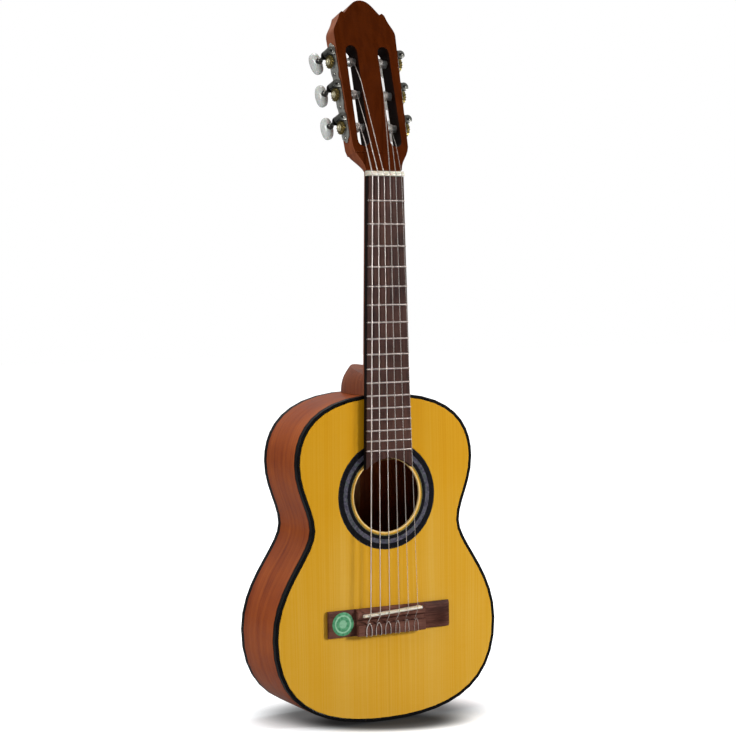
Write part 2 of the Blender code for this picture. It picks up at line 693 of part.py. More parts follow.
def make_bridge(slant):
    """Thin wings, a ridge that holds the saddle, and a drilled block the strings tie to."""
    profile = [
        (-GAP, BRIDGE_BOTTOM), (-GAP, BRIDGE_TOP), (-TROUGH_HEIGHT, BRIDGE_TOP),
        (-RIDGE_HEIGHT, BRIDGE_TOP - 3.0), (-RIDGE_HEIGHT, RIDGE_LOW + 2.0),
        (-TROUGH_HEIGHT - 1.0, RIDGE_LOW), (-TROUGH_HEIGHT, RIDGE_LOW),
        (-TROUGH_HEIGHT, TROUGH_LOW), (-TIE_HEIGHT, TROUGH_LOW),
        (-TIE_HEIGHT, BRIDGE_BOTTOM + 0.8), (0.8 - TIE_HEIGHT, BRIDGE_BOTTOM),
    ]
    bridge = bar_x("bridge", profile, TIE_HALF)
    low, high = BRIDGE_BOTTOM + 0.02, BRIDGE_TOP - 0.02
    wings = [
        (-GAP, low), (-GAP, high), (-WING_RIM, high), (-WING_THICKNESS, high - WING_SLOPE),
        (-WING_THICKNESS, low + WING_SLOPE), (-WING_RIM, low),
    ]
    boolean(bridge, bar_x("bridge_wings", wings, BRIDGE_HALF), "UNION")
    half = SADDLE_THICKNESS / 2 + GAP
    slot = box("saddle_slot", (-SADDLE_HALF - GAP, -20, -half),
               (SADDLE_HALF + GAP, GAP - WING_THICKNESS, half))
    boolean(bridge, slot, "DIFFERENCE", slant)
    for number in range(1, 7):
        x = string_x(number, BRIDGE_Z)
        start, end = (x, -TIE_HOLE_HEIGHT, BRIDGE_BOTTOM - 5), (x, -TIE_HOLE_HEIGHT, TROUGH_LOW + 2)
        hole = rod("tie_hole_%d" % number, TIE_HOLE_RADIUS, start, end, 8)
        boolean(bridge, hole, "DIFFERENCE")
    link_part(bridge, "rosewood")


# ---------------------------------------------------------------- tuning machines

def head_half(z):
    """Half the head's width along its straight side."""
    (x0, z0), (x1, z1) = HEAD_SIDE_LOW, HEAD_SIDE_HIGH
    return x0 + (x1 - x0) * (z - z0) / (z1 - z0)


def machine_frames(head):
    """One frame for each side of the head, its +Z along the splayed side through the first roller."""
    splay = atan2(HEAD_SIDE_HIGH[0] - HEAD_SIDE_LOW[0], HEAD_SIDE_HIGH[1] - HEAD_SIDE_LOW[1])
    place = head_half(FIRST_ROLLER)
    return {
        side: frame("machine_" + SIDES[side], (side * place, 0.0, FIRST_ROLLER),
                    (0.0, side * splay, 0.0), head)
        for side in SIDES
    }


def worm_mesh():
    """A right-hand V thread on a journal, with the button moulded on its far end.

    Local +Z runs back from the head's face. Rows of points follow the helix half a lead apart,
    so the row after one full turn is two rows further on.
    """
    columns, rows = 12, 7
    start = ROLLER_DEPTH - 2 * LEAD
    bm = bmesh.new()

    def point(radius, column, z):
        angle = 2 * pi * column / columns
        return bm.verts.new(Vector((radius * cos(angle), radius * sin(angle), z)) * MM)

    grid = []
    for j in range(columns):
        count = rows + 2 if j == 0 else rows
        grid.append([
            point(WORM_CREST if k % 2 else WORM_ROOT, j, start + LEAD * (k / 2 + j / columns))
            for k in range(count)
        ])
    low = [point(WORM_ROOT, j, start - 0.3) for j in range(columns)]
    high = [point(WORM_ROOT, j, start + LEAD * (rows + 1) / 2 + 0.3) for j in range(columns)]
    for j in range(columns - 1):
        here, there = grid[j], grid[j + 1]
        bm.faces.new((low[j], low[j + 1], there[0], here[0]))
        for k in range(rows - 1):
            bm.faces.new((here[k], there[k], there[k + 1], here[k + 1]))
        if j:
            bm.faces.new((here[rows - 1], there[rows - 1], high[j + 1], high[j]))
    last, first = grid[-1], grid[0]
    for k in range(rows - 1):
        bm.faces.new((last[k], first[k + 2], first[k + 3], last[k + 1]))
    bm.faces.new((last[rows - 1], first[rows + 1], high[0], high[-1]))
    run_in = [low[-1], low[0], first[0], first[1], first[2]]
    for a, b in zip(run_in, run_in[1:]):
        bm.faces.new((last[0], a, b))
    run_out = [first[rows - 1], first[rows], first[rows + 1], high[0], high[1]]
    for a, b in zip(run_out, run_out[1:]):
        bm.faces.new((grid[1][rows - 1], a, b))
    bm.faces.new(low)
    bm.faces.new(high)
    worm = mesh_object("worm", bm)

    shaft = rod("worm_shaft", KEY_SHAFT_RADIUS, (0, 0, 0.4), (0, 0, BUTTON_DEPTH - 3), 12)
    boolean(worm, shaft, "UNION")
    bm = bmesh.new()
    bmesh.ops.create_uvsphere(bm, u_segments=12, v_segments=6, radius=1.0)
    bmesh.ops.scale(bm, vec=Vector(BUTTON_SIZE) * MM, verts=bm.verts)
    button = mesh_object("button", bm)
    button.location = (0.0, 0.0, BUTTON_DEPTH * MM)
    boolean(worm, button, "UNION")
    mesh = baked(worm)
    for guide in (shaft, button):
        bpy.data.objects.remove(guide, do_unlink=True)
    return mesh


def gear_mesh():
    """Pointed teeth twisted to the worm's lead angle, one of them on the line of centres."""
    tooth = 2 * pi / TEETH
    root_half, tip_half = TOOTH_ROOT_HALF / GEAR_ROOT, TOOTH_TIP_HALF / GEAR_TIP
    loop = []
    for i in range(TEETH):
        centre = i * tooth
        loop += [
            (GEAR_ROOT, centre - root_half), (GEAR_TIP, centre - tip_half),
            (GEAR_TIP, centre + tip_half), (GEAR_ROOT, centre + root_half),
        ]
    outline = [(radius * cos(a), radius * sin(a)) for radius, a in loop]
    gear = flat("gear", [outline, circle(SPIGOT_RADIUS + GAP, 0.0, 12)], GEAR_THICKNESS)
    lead_slope = LEAD / (2 * pi * WORM_PITCH_RADIUS)
    for vertex in gear.data.vertices:
        twist = lead_slope / (GEAR_PITCH_RADIUS * MM) * vertex.co.z
        vertex.co = Matrix.Rotation(twist, 3, "Z") @ vertex.co
    return baked(gear)


def roller_mesh():
    """A turned roller: a spigot for the plate and gear, then the barrel the string winds on."""
    spigot_top = GEAR_OUT + GEAR_THICKNESS / 2 + SPIGOT_OVERHANG
    shoulder = -GAP - FINE_GAP
    profile = [
        (0.0, spigot_top), (SPIGOT_RADIUS, spigot_top), (SPIGOT_RADIUS, shoulder),
        (ROLLER_RADIUS, shoulder), (ROLLER_RADIUS, -ROLLER_LENGTH), (0.0, -ROLLER_LENGTH),
    ]
    mesh = bpy.data.meshes.new("roller")
    points = [(x * MM, 0.0, z * MM) for x, z in profile]
    mesh.from_pydata(points, [(i, i + 1) for i in range(len(points) - 1)], [])
    roller = bpy.data.objects.new("roller", mesh)
    screw = roller.modifiers.new("turn", "SCREW")
    screw.steps = 12
    screw.render_steps = 12
    screw.use_merge_vertices = True
    screw.merge_threshold = 0.000001
    start, end = (-10, 0, -STRING_HOLE_PLACE), (10, 0, -STRING_HOLE_PLACE)
    hole = rod("string_hole", STRING_HOLE_RADIUS, start, end, 8)
    boolean(roller, hole, "DIFFERENCE")
    mesh = baked(roller)
    bpy.data.objects.remove(hole, do_unlink=True)
    return mesh


def make_tuner_plate(name, side, machine):
    """A side plate with two ears for each worm and a bearing hole for each roller."""
    out = PLATE_THICKNESS + GAP
    near, far = sorted((side * GAP, side * out))
    front, rear = ROLLER_DEPTH - PLATE_HALF_WIDTH, ROLLER_DEPTH + PLATE_HALF_WIDTH
    plate = box(name, (near, front, PLATE_LOW), (far, rear, PLATE_HIGH))
    near, far = sorted((side * (out - 0.4), side * (GEAR_OUT + EAR_HALF)))
    for i in range(3):
        axle = ROLLER_PITCH * i
        z = axle + WORM_CENTRES
        for label, y in (("front", front + 0.02), ("rear", rear - EAR_THICKNESS - 0.02)):
            ear = box("%s_%s_ear_%d" % (name, label, i + 1), (near, y, z - EAR_HALF),
                      (far, y + EAR_THICKNESS, z + EAR_HALF))
            boolean(plate, ear, "UNION", machine)
        journal = rod("%s_journal_%d" % (name, i + 1), KEY_SHAFT_RADIUS + GAP,
                      (side * GEAR_OUT, -5, z), (side * GEAR_OUT, 30, z), 12)
        boolean(plate, journal, "DIFFERENCE", machine)
        bearing = rod("%s_bearing_%d" % (name, i + 1), SPIGOT_RADIUS + GAP,
                      (side * -5, ROLLER_DEPTH, axle), (side * 12, ROLLER_DEPTH, axle), 12)
        boolean(plate, bearing, "DIFFERENCE", machine)
    return link_part(plate, "nickel", machine)


def make_tuners(machines):
    key_shape, gear_shape, roller_shape = worm_mesh(), gear_mesh(), roller_mesh()
    for side, machine in machines.items():
        make_tuner_plate("tuner_plate_" + SIDES[side], side, machine)
        for i, number in enumerate(STRINGS_FROM_NUT[side]):
            axle = ROLLER_PITCH * i
            key = bpy.data.objects.new("key_%d" % number, key_shape.copy())
            key.location = Vector((side * GEAR_OUT, 0.0, axle + WORM_CENTRES)) * MM
            key.rotation_euler = (-pi / 2, pi / 2, 0.0)
            link_part(key, "pearloid", machine)
            gear = bpy.data.objects.new("gear_%d" % number, gear_shape.copy())
            gear.location = Vector((side * GEAR_OUT, ROLLER_DEPTH, axle)) * MM
            gear.rotation_euler = (0.0, pi / 2, 0.0)
            link_part(gear, "brass", machine)
            roller = bpy.data.objects.new("roller_%d" % number, roller_shape.copy())
            roller.location = Vector((0.0, ROLLER_DEPTH, axle)) * MM
            roller.rotation_euler = (0.0, side * pi / 2, 0.0)
            link_part(roller, "plated_steel", machine)


# ---------------------------------------------------------------- strings

def head_point(x, z, height):
    """A point given across and along the head's face, and its height in front of it."""
    y = -HEAD_RISE - height * cos(HEAD_TILT) + z * sin(HEAD_TILT)
    return (x, y, NUT_Z + NUT_THICKNESS + GAP + z * cos(HEAD_TILT) + height * sin(HEAD_TILT))


def make_strings():
    """From the tie block over saddle and nut, down to the roller."""
    for number in range(1, 7):
        radius = STRING_DIAMETERS[number - 1] / 2
        side = 1 if number < 4 else -1
        place = STRINGS_FROM_NUT[side].index(number)
        at_saddle, at_nut = string_x(number, BRIDGE_Z), string_x(number, NUT_Z)
        above_saddle = -SADDLE_HEIGHT - FINE_GAP - radius
        above_nut = -NUT_HEIGHT - FINE_GAP - radius
        saddle_z = SADDLE_MIDDLE_Z + SADDLE_SLANT * at_saddle
        path = [
            (at_saddle, -TIE_HOLE_HEIGHT, TROUGH_LOW + 0.8),
            (at_saddle, above_saddle, saddle_z - 1.2), (at_saddle, above_saddle, saddle_z + 0.6),
            (at_nut, above_nut, NUT_Z + 0.2), (at_nut, above_nut, NUT_Z + NUT_CREST - 0.2),
        ]
        z = FIRST_ROLLER + ROLLER_PITCH * place
        dip_x, dip_z = STRING_DIPS[place]
        path.append(head_point(side * dip_x, dip_z, 0.9))
        landing = SLOT_X - 0.8 - 1.5 * place
        depth = ROLLER_DEPTH - ROLLER_RADIUS - GAP - radius
        path.append(head_point(side * landing, z, -depth))
        link_part(wire("string_%d" % number, path, radius), "nylon" if number < 4 else "wound_string")


def wire(name, path, radius):
    curve = bpy.data.curves.new(name, "CURVE")
    curve.dimensions = "3D"
    curve.bevel_depth = radius * MM
    curve.bevel_resolution = 2
    curve.use_fill_caps = True
    spline = curve.splines.new("POLY")
    spline.points.add(len(path) - 1)
    for point, place in zip(spline.points, path):
        point.co = (*(Vector(place) * MM), 1.0)
    return smooth(welded(bpy.data.objects.new(name, curve)), 60.0)


# ---------------------------------------------------------------- assembly

clear_scene()
PARTS_COLLECTION = collection(PARTS)
CUTTER_COLLECTION = collection(CUTTERS)
MATERIALS = make_materials()

front = SADDLE_HEIGHT + FINE_GAP + max(STRING_DIAMETERS)
SOUNDBOARD_FRAME = frame("soundboard_frame", (0.0, (front - DEPTH_TAIL) / 2, 0.0), (0.0, 0.0, 0.0))
head_frame = frame("head_frame", (0.0, -HEAD_RISE, NUT_Z + NUT_THICKNESS + GAP),
                   (-HEAD_TILT, 0.0, 0.0), SOUNDBOARD_FRAME)
machine_empties = machine_frames(head_frame)
saddle_frame = frame("saddle_frame", (0.0, 0.0, SADDLE_MIDDLE_Z), (0.0, -atan(SADDLE_SLANT), 0.0),
                     SOUNDBOARD_FRAME)
make_body()
make_neck(head_frame, machine_empties)
make_fingerboard()
make_frets()
make_nut()
make_saddle(saddle_frame)
make_bridge(saddle_frame)
make_tuners(machine_empties)
make_strings()
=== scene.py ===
"""Looks of a quarter-size classical guitar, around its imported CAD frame.

Lengths are millimetres in the guitar's own planes: X across, Y back from the soundboard's front
face, Z up from the tail. at() turns them into the frame's metres.
"""

import json
from math import cos, hypot, pi, radians, sin

import bmesh
import bpy
from mathutils import Matrix, Vector


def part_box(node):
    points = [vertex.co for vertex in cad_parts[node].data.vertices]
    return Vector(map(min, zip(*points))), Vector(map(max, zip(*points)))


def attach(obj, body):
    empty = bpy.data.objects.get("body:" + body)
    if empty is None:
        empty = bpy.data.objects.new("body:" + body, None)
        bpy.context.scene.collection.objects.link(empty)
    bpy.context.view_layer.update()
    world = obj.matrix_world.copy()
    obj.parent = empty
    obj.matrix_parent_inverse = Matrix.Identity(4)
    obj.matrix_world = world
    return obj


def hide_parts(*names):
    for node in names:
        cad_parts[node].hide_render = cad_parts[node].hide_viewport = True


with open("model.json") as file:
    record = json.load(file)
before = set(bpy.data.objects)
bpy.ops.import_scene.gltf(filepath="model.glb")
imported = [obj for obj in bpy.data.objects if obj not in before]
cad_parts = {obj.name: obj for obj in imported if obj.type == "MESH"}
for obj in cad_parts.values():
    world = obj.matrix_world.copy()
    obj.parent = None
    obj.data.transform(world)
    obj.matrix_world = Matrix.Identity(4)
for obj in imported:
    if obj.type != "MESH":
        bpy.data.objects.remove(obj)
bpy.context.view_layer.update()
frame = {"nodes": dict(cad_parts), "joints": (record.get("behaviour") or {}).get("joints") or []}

MM = 0.001
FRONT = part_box("soundboard")[0].y / MM          # the soundboard's front face, in the frame
GAP = 0.3                                       # kept clear between neighbouring pieces
NODES = frame["nodes"]

BRIDGE_Z, NUT_Z = 111.0, 551.0
BRIDGE_BOTTOM, TROUGH_LOW = BRIDGE_Z - 20.6, BRIDGE_Z - 9.5
TIE_HOLE_Y, TIE_TOP_Y, WING_Y = -5.6, -9.15, -3.3   # of the bridge's tie block and of its wings
SADDLE_MIDDLE_Z, SADDLE_SLANT = 112.4, 0.054
SADDLE_TOP, NUT_TOP = 12.6, 8.4
NUT_THICKNESS, NUT_HALF, NUT_CROWN = 5.0, 20.4, 0.55
HOLE_Z, HOLE_RADIUS = 229.8, 37.6
ROSETTE_DEPTH, GROOVE = 0.8, 0.08
LABEL_CENTRE = (-53.5, 103.9)

STRING_DIAMETERS = (0.70, 0.82, 1.00, 0.75, 0.90, 1.10)
NYLON_STRINGS = (1, 2, 3)
STRING_SLOTS = {"nylon": "nylon", "wound": "wound_string"}
SPREAD_NUT, SPREAD_SADDLE = 33.2, 54.2
STRINGS_FROM_NUT = {-1: (6, 5, 4), 1: (1, 2, 3)}
SIDES = {-1: "bass", 1: "treble"}

HEAD_TILT, HEAD_RISE = radians(15.0), 3.0
HEAD_FRONT = (0.0, -cos(HEAD_TILT), sin(HEAD_TILT))     # the way its face looks
HEAD_FLANK, HEAD_FLARE = 32.23, 1.0 / 30.0      # half its width at the first roller, and its growth
VENEER_FROM, VENEER_FULL = 553.0, 555.0         # Z where the head's veneer starts
SLOT_REACH, SLOT_LOW, SLOT_HIGH = 26.0, 580.0, 689.0    # around both slots, X and Z
STRING_BENDS = ((17.3, 27.5), (13.6, 46.0), (12.8, 96.0))   # where each passes into its slot

FIRST_ROLLER, ROLLER_PITCH = 47.9, 35.0         # up the head's face
ROLLER_DEPTH, ROLLER_RADIUS = 9.5, 4.0
LANDING, LANDING_STEP = 17.5, 1.5               # where the strings reach their rollers
GEAR_OUT, WORM_CENTRES = 5.0, 9.1
LEAD = pi * 0.9
THREAD_ROOT, THREAD_HEIGHT, THREAD_TURNS = 2.0, 1.2, 2
THREAD_STEEPNESS, THREAD_FLAT, THREAD_FADE = 2.6, 1.25, 0.7
BUTTON_DEPTH, BUTTON_HALVES, BUTTON_FULLNESS = 38.4, (11.2, 5.9, 7.9), 0.66
BUTTON_TURNS = {1: -11.0, 2: 9.0, 3: -5.0, 4: -13.0, 5: -3.0, 6: -3.0}  # degrees, as each was left
PLATE_TOP, PLATE_HALF, HOOD_RADIUS = 1.5, 7.6, 4.1

CAMERA_TURN, CAMERA_TIP, CAMERA_ROLL = -28.013, 2.508, -0.741   # degrees
CAMERA_PLACE, CAMERA_LENS, SENSOR = (-869.5, -1597.3, 438.3), 88.3, 36.0
LAMPS = (                                       # place, target, size and power of each
    ("key_light", (1.66, -1.52, 0.81), (0.0, 0.0, 0.35), 0.45, 47.0),
    ("left_light", (-2.2, -0.4, 1.0), (0.0, 0.0, 0.35), 1.0, 16.0),
    ("top_light", (0.0, 0.35, 2.2), (0.0, 0.0, 0.1), 1.1, 17.0),
)
BROAD_PAINTED_SHADOW = ((-1.5, 39.5), 145.0, 97.0, 0.85)     # centre, half width, half depth and darkness of each painted shadow
CLOSE_PAINTED_SHADOW = ((-6.8, -2.1), 100.0, 50.0, 0.84)
FLOOR_BOUNCE, FLOOR_MIRRORED = 0.62, 0.34       # what the floor throws back, less in reflections
GLOW_RANGE, GLOW_LEVELS = (260.0, 900.0), (0.60, 1.0)   # the floor's glow by distance
FLOOR_SIZE, FLOOR_DROP = 9.0, 0.0002            # metres
WHITE = (1.0, 1.0, 1.0, 1.0)


# ---------------------------------------------------------------- places

def at(x, y, z):
    return Vector((x, y + FRONT, z)) * MM


def string_x(number, z):
    share = (z - BRIDGE_Z) / (NUT_Z - BRIDGE_Z)
    spread = SPREAD_SADDLE + (SPREAD_NUT - SPREAD_SADDLE) * share
    return spread * (0.5 - (number - 1) / 5)


def head_point(x, z, height):
    """Across and along the head's face, and in front of it."""
    y = -HEAD_RISE - height * cos(HEAD_TILT) + z * sin(HEAD_TILT)
    return at(x, y, NUT_Z + NUT_THICKNESS + GAP + z * cos(HEAD_TILT) + height * sin(HEAD_TILT))


class Machine:
    """Directions and places at one string's tuning machine, read from its joints.

    u runs outwards from the head's side, d back from its face and h up along its side.
    """

    def __init__(self, number):
        joints = {j["name"]: j for j in frame["joints"]}
        key = joints["key_turn_%d" % number]
        spindle = joints["spindle_turn_%d" % number]
        self.side = 1 if spindle["pos_m"][0] > 0 else -1
        self.back = Vector(key["axis"]).normalized()
        across = Vector(spindle["axis"]).normalized()
        self.out = across * self.side
        self.up = across.cross(self.back)
        spindle_place = Vector(spindle["pos_m"])
        self.origin = spindle_place - (self.out * GEAR_OUT + self.back * ROLLER_DEPTH) * MM

    def point(self, u, d, h):
        return self.origin + (self.out * u + self.back * d + self.up * h) * MM


# ---------------------------------------------------------------- shader nodes

def shader(name):
    mat = bpy.data.materials.new(name)
    mat.use_nodes = True
    return mat, mat.node_tree, mat.node_tree.nodes["Principled BSDF"]


def node(tree, kind, inputs=None, **settings):
    made = tree.nodes.new("ShaderNode" + kind)
    for key, value in settings.items():
        setattr(made, key, value)
    for key, value in (inputs or {}).items():
        if isinstance(value, bpy.types.NodeSocket):
            tree.links.new(value, made.inputs[key])
        else:
            made.inputs[key].default_value = value
    return made


def calc(tree, operation, a, b=0.0):
    return node(tree, "Math", {0: a, 1: b}, operation=operation).outputs[0]


def times(tree, a, b):
    return calc(tree, "MULTIPLY", a, b)


def plus(tree, a, b):
    return calc(tree, "ADD", a, b)


def swing(tree, value, size):
    """A noise value around zero instead of a half, times its size."""
    return times(tree, calc(tree, "SUBTRACT", value, 0.5), size)


def vectors(tree, operation, a, b=(0.0, 0.0, 0.0)):
    return node(tree, "VectorMath", {0: a, 1: b}, operation=operation).outputs[0]


def measured(tree, operation, a, b=(0.0, 0.0, 0.0)):
    """A vector operation whose result is one number."""
    return node(tree, "VectorMath", {0: a, 1: b}, operation=operation).outputs["Value"]


def axes(tree, vector):
    return node(tree, "SeparateXYZ", {0: vector}).outputs


def surface(tree, output):
    return node(tree, "NewGeometry").outputs[output]


def blend(tree, factor, a, b, mode="MIX"):
    mix = node(tree, "Mix", {0: factor, 6: a, 7: b}, data_type="RGBA", blend_type=mode)
    return mix.outputs[2]


def ramp(tree, factor, stops, interpolation="LINEAR"):
    made = node(tree, "ValToRGB", {0: factor})
    table = made.color_ramp
    table.interpolation = interpolation
    while len(table.elements) < len(stops):
        table.elements.new(0.5)
    for element, (place, value) in zip(table.elements, stops):
        element.position = place
        element.color = value
    return made.outputs[0]


def level(tree, factor, low, high, bottom=0.0, top=1.0):
    made = node(tree, "MapRange", {0: factor, 1: low, 2: high, 3: bottom, 4: top})
    return made.outputs[0]


def millimetres(tree):
    """Object coordinates in millimetres, measured from the soundboard's front face."""
    place = node(tree, "TexCoord").outputs["Object"]
    moved = vectors(tree, "ADD", place, (0.0, -FRONT * MM, 0.0))
    return node(tree, "VectorMath", {0: moved, "Scale": 1.0 / MM}, operation="SCALE").outputs[0]


def noise(tree, place, scale, detail=3.0, roughness=0.55, distortion=0.0):
    """Noise whose scale may differ by axis, in cycles per millimetre."""
    if isinstance(scale, (int, float)):
        scale = (scale, scale, scale)
    made = node(tree, "TexNoise", {
        "Vector": vectors(tree, "MULTIPLY", place, scale), "Scale": 1.0, "Detail": detail,
        "Roughness": roughness, "Distortion": distortion,
    })
    return made.outputs["Fac"]


def bump(tree, height, distance, strength):
    inputs = {"Height": height, "Distance": distance * MM, "Strength": strength}
    return node(tree, "Bump", inputs).outputs[0]


def srgb(red, green, blue):
    """A display colour as the linear one a shader takes."""
    def linear(c):
        c /= 255.0
        return c / 12.92 if c <= 0.04045 else ((c + 0.055) / 1.055) ** 2.4
    return (linear(red), linear(green), linear(blue), 1.0)


def hole_distance(tree, place):
    """Distance from the soundhole's axis."""
    return across_distance(tree, place, 0.0, HOLE_Z)


def across_distance(tree, place, x, z):
    """Distance from a line that runs straight back through X and Z."""
    moved = vectors(tree, "ADD", place, (-x, 0.0, -z))
    return measured(tree, "LENGTH", vectors(tree, "MULTIPLY", moved, (1.0, 0.0, 1.0)))


def connect(tree, bsdf, **inputs):
    for key, value in inputs.items():
        socket = bsdf.inputs[key.replace("_", " ")]
        if isinstance(value, bpy.types.NodeSocket):
            tree.links.new(value, socket)
        else:
            socket.default_value = value


# ---------------------------------------------------------------- materials

def wood(name, colours, grain, gloss, coat, pore_depth, figure, specular=0.25, mirror=False,
         worn=None, veneer=None, stain=None):
    """Timber: colours run dark to light, and grain is its cycles per millimetre by axis.

    worn colours the edges, veneer the head's face and slots (dark, light, inside), and stain is
    the colour of painted shade on the faces that look sideways.
    """
    mat, tree, bsdf = shader(name)
    place = millimetres(tree)
    if mirror:
        place = mirrored(tree, place)
    shifted = wandering(tree, place, 0.012, 14.0)
    fine = noise(tree, shifted, [g * 1.6 for g in grain], 5.0, 0.6)
    broad = noise(tree, shifted, [g * 0.22 for g in grain], 3.0, 0.5)
    mottle = noise(tree, place, 0.03, 3.0)
    mix = plus(tree, times(tree, fine, 0.42), times(tree, broad, 0.58))
    mix = plus(tree, mix, swing(tree, mottle, figure))
    steps = [(0.28 + 0.44 * i / (len(colours) - 1), srgb(*c)) for i, c in enumerate(colours)]
    colour = ramp(tree, mix, steps)
    pore_noise = noise(tree, shifted, [g * (2.6 if g > 0.1 else 1.2) for g in grain], 2.0, 0.4)
    pores = level(tree, pore_noise, 0.60, 0.70)
    colour = blend(tree, times(tree, pores, pore_depth), colour, srgb(*colours[0]))
    if worn:
        edge = level(tree, surface(tree, "Pointiness"), 0.52, 0.60)
        rubbed = times(tree, edge, level(tree, mottle, 0.35, 0.65))
        colour = blend(tree, times(tree, rubbed, 0.5), colour, srgb(*worn))
    if veneer:
        dark, light, inside = [srgb(*c) for c in veneer]
        streaks = blend(tree, level(tree, broad, 0.35, 0.65), dark, light)
        face, wall = head_face(tree, place), slot_wall(tree, place)
        colour = blend(tree, wall, blend(tree, face, colour, streaks), inside)
        dull = calc(tree, "MAXIMUM", face, wall)
        specular = level(tree, dull, 0.0, 1.0, specular, 0.03)
        coat = level(tree, dull, 0.0, 1.0, coat, 0.01)
    # painted shade: faces that look along X take the near-black stain colour
    if stain:
        sideways = calc(tree, "ABSOLUTE", axes(tree, surface(tree, "Normal"))[0])
        colour = blend(tree, level(tree, sideways, 0.75, 0.9), colour, srgb(*stain))
    height = calc(tree, "SUBTRACT", fine, times(tree, pores, 0.8))
    smudge = noise(tree, place, 0.06, 4.0)
    connect(
        tree, bsdf, Base_Color=colour,
        Roughness=level(tree, smudge, 0.3, 0.7, gloss - 0.05, gloss + 0.07),
        Normal=bump(tree, height, 0.05, 0.35),
        Coat_Weight=coat, Coat_Roughness=level(tree, smudge, 0.3, 0.7, 0.05, 0.12),
        Coat_Normal=bump(tree, mottle, 0.4, 0.15), Specular_IOR_Level=specular,
    )
    return mat


def mirrored(tree, place):
    """The same on both sides of the centre seam."""
    split = axes(tree, place)
    half = calc(tree, "ABSOLUTE", split[0])
    return node(tree, "CombineXYZ", {0: half, 1: split[1], 2: split[2]}).outputs[0]


def wandering(tree, place, scale, size):
    """Places that wander, so that a grain read from them isn't straight."""
    return vectors(tree, "ADD", place, swing(tree, noise(tree, place, scale, 2.0), size))


def head_face(tree, place):
    """1 on the front of the head, where a dark veneer covers the neck's wood."""
    along = measured(tree, "DOT_PRODUCT", surface(tree, "Normal"), HEAD_FRONT)
    above_nut = level(tree, axes(tree, place)[2], VENEER_FROM, VENEER_FULL)
    return times(tree, level(tree, along, 0.80, 0.93), above_nut)


def slot_wall(tree, place):
    """1 on the walls of the head's two slots, which are stained dark."""
    along = measured(tree, "DOT_PRODUCT", surface(tree, "Normal"), HEAD_FRONT)
    x, _, z = axes(tree, place)
    inner = level(tree, calc(tree, "ABSOLUTE", x), SLOT_REACH + 0.5, SLOT_REACH - 0.5)
    low = level(tree, z, SLOT_LOW - 1.0, SLOT_LOW + 1.0)
    high = level(tree, z, SLOT_HIGH + 1.0, SLOT_HIGH - 1.0)
    upright = level(tree, calc(tree, "ABSOLUTE", along), 0.6, 0.4)
    return times(tree, times(tree, inner, upright), times(tree, low, high))


def spruce():
    """Quarter-sawn top under amber varnish: close growth lines either side of a centre seam."""
    mat, tree, bsdf = shader("spruce_top")
    place = millimetres(tree)
    x, _, z = axes(tree, place)
    shifted = wandering(tree, mirrored(tree, place), (0.012, 0.0, 0.004), 10.0)
    lines = level(tree, noise(tree, shifted, (0.75, 0.0, 0.0022), 2.0, 0.45), 0.36, 0.62)
    bands = noise(tree, shifted, (0.030, 0.0, 0.0012), 2.0, 0.5)
    silk = noise(tree, place, (0.05, 0.3, 0.9), 3.0, 0.5)
    cloud = noise(tree, place, 0.006, 2.0)
    tone = plus(tree, times(tree, lines, 0.16), times(tree, bands, 0.55))
    tone = plus(tree, tone, swing(tree, silk, 0.10))
    tone = plus(tree, tone, swing(tree, cloud, 0.50))
    # painted light: the soundboard is made paler towards the tail
    tone = plus(tree, tone, level(tree, z, 60.0, 320.0, 0.34, -0.04))
    colour = ramp(tree, tone, [
        (0.12, srgb(198, 134, 6)), (0.38, srgb(209, 150, 18)), (0.58, srgb(212, 157, 38)),
        (0.85, srgb(218, 170, 68)),
    ])
    seam = level(tree, calc(tree, "ABSOLUTE", x), 0.05, 0.35, 0.30, 0.0)
    colour = blend(tree, seam, colour, srgb(158, 104, 16))
    radius = hole_distance(tree, place)
    upright = level(tree, axes(tree, surface(tree, "Normal"))[1], -0.9, -0.6)
    wall = times(tree, upright, level(tree, radius, 42.0, 41.0))
    colour = blend(tree, wall, colour, srgb(246, 214, 158))
    # painted highlight: a cream ring on the front face along the soundhole's edge
    rim = level(tree, radius, HOLE_RADIUS + 0.8, HOLE_RADIUS + 1.8, 0.85, 0.0)
    colour = blend(tree, rim, colour, srgb(240, 206, 140))
    height = plus(tree, lines, times(tree, silk, 0.3))
    connect(
        tree, bsdf, Base_Color=colour,
        Roughness=level(tree, cloud, 0.3, 0.7, 0.32, 0.40),
        Normal=bump(tree, height, 0.03, 0.3),
        Coat_Weight=0.04, Coat_Roughness=0.18, Specular_IOR_Level=0.08,
    )
    return mat


def lacquer(name, dark, light, gloss, coat, specular):
    """Smooth coloured plastic or fibre under varnish, with faint smears and fine scuffs."""
    mat, tree, bsdf = shader(name)
    place = millimetres(tree)
    smear = noise(tree, place, 0.08, 4.0)
    scuff = noise(tree, place, (0.5, 3.0, 0.5), 3.0)
    colour = blend(tree, level(tree, smear, 0.3, 0.7), srgb(*dark), srgb(*light))
    connect(
        tree, bsdf, Base_Color=colour,
        Roughness=level(tree, scuff, 0.3, 0.7, gloss, gloss + 0.14),
        Normal=bump(tree, scuff, 0.01, 0.3), Coat_Weight=coat, Coat_Roughness=0.06,
        Specular_IOR_Level=specular,
    )
    return mat


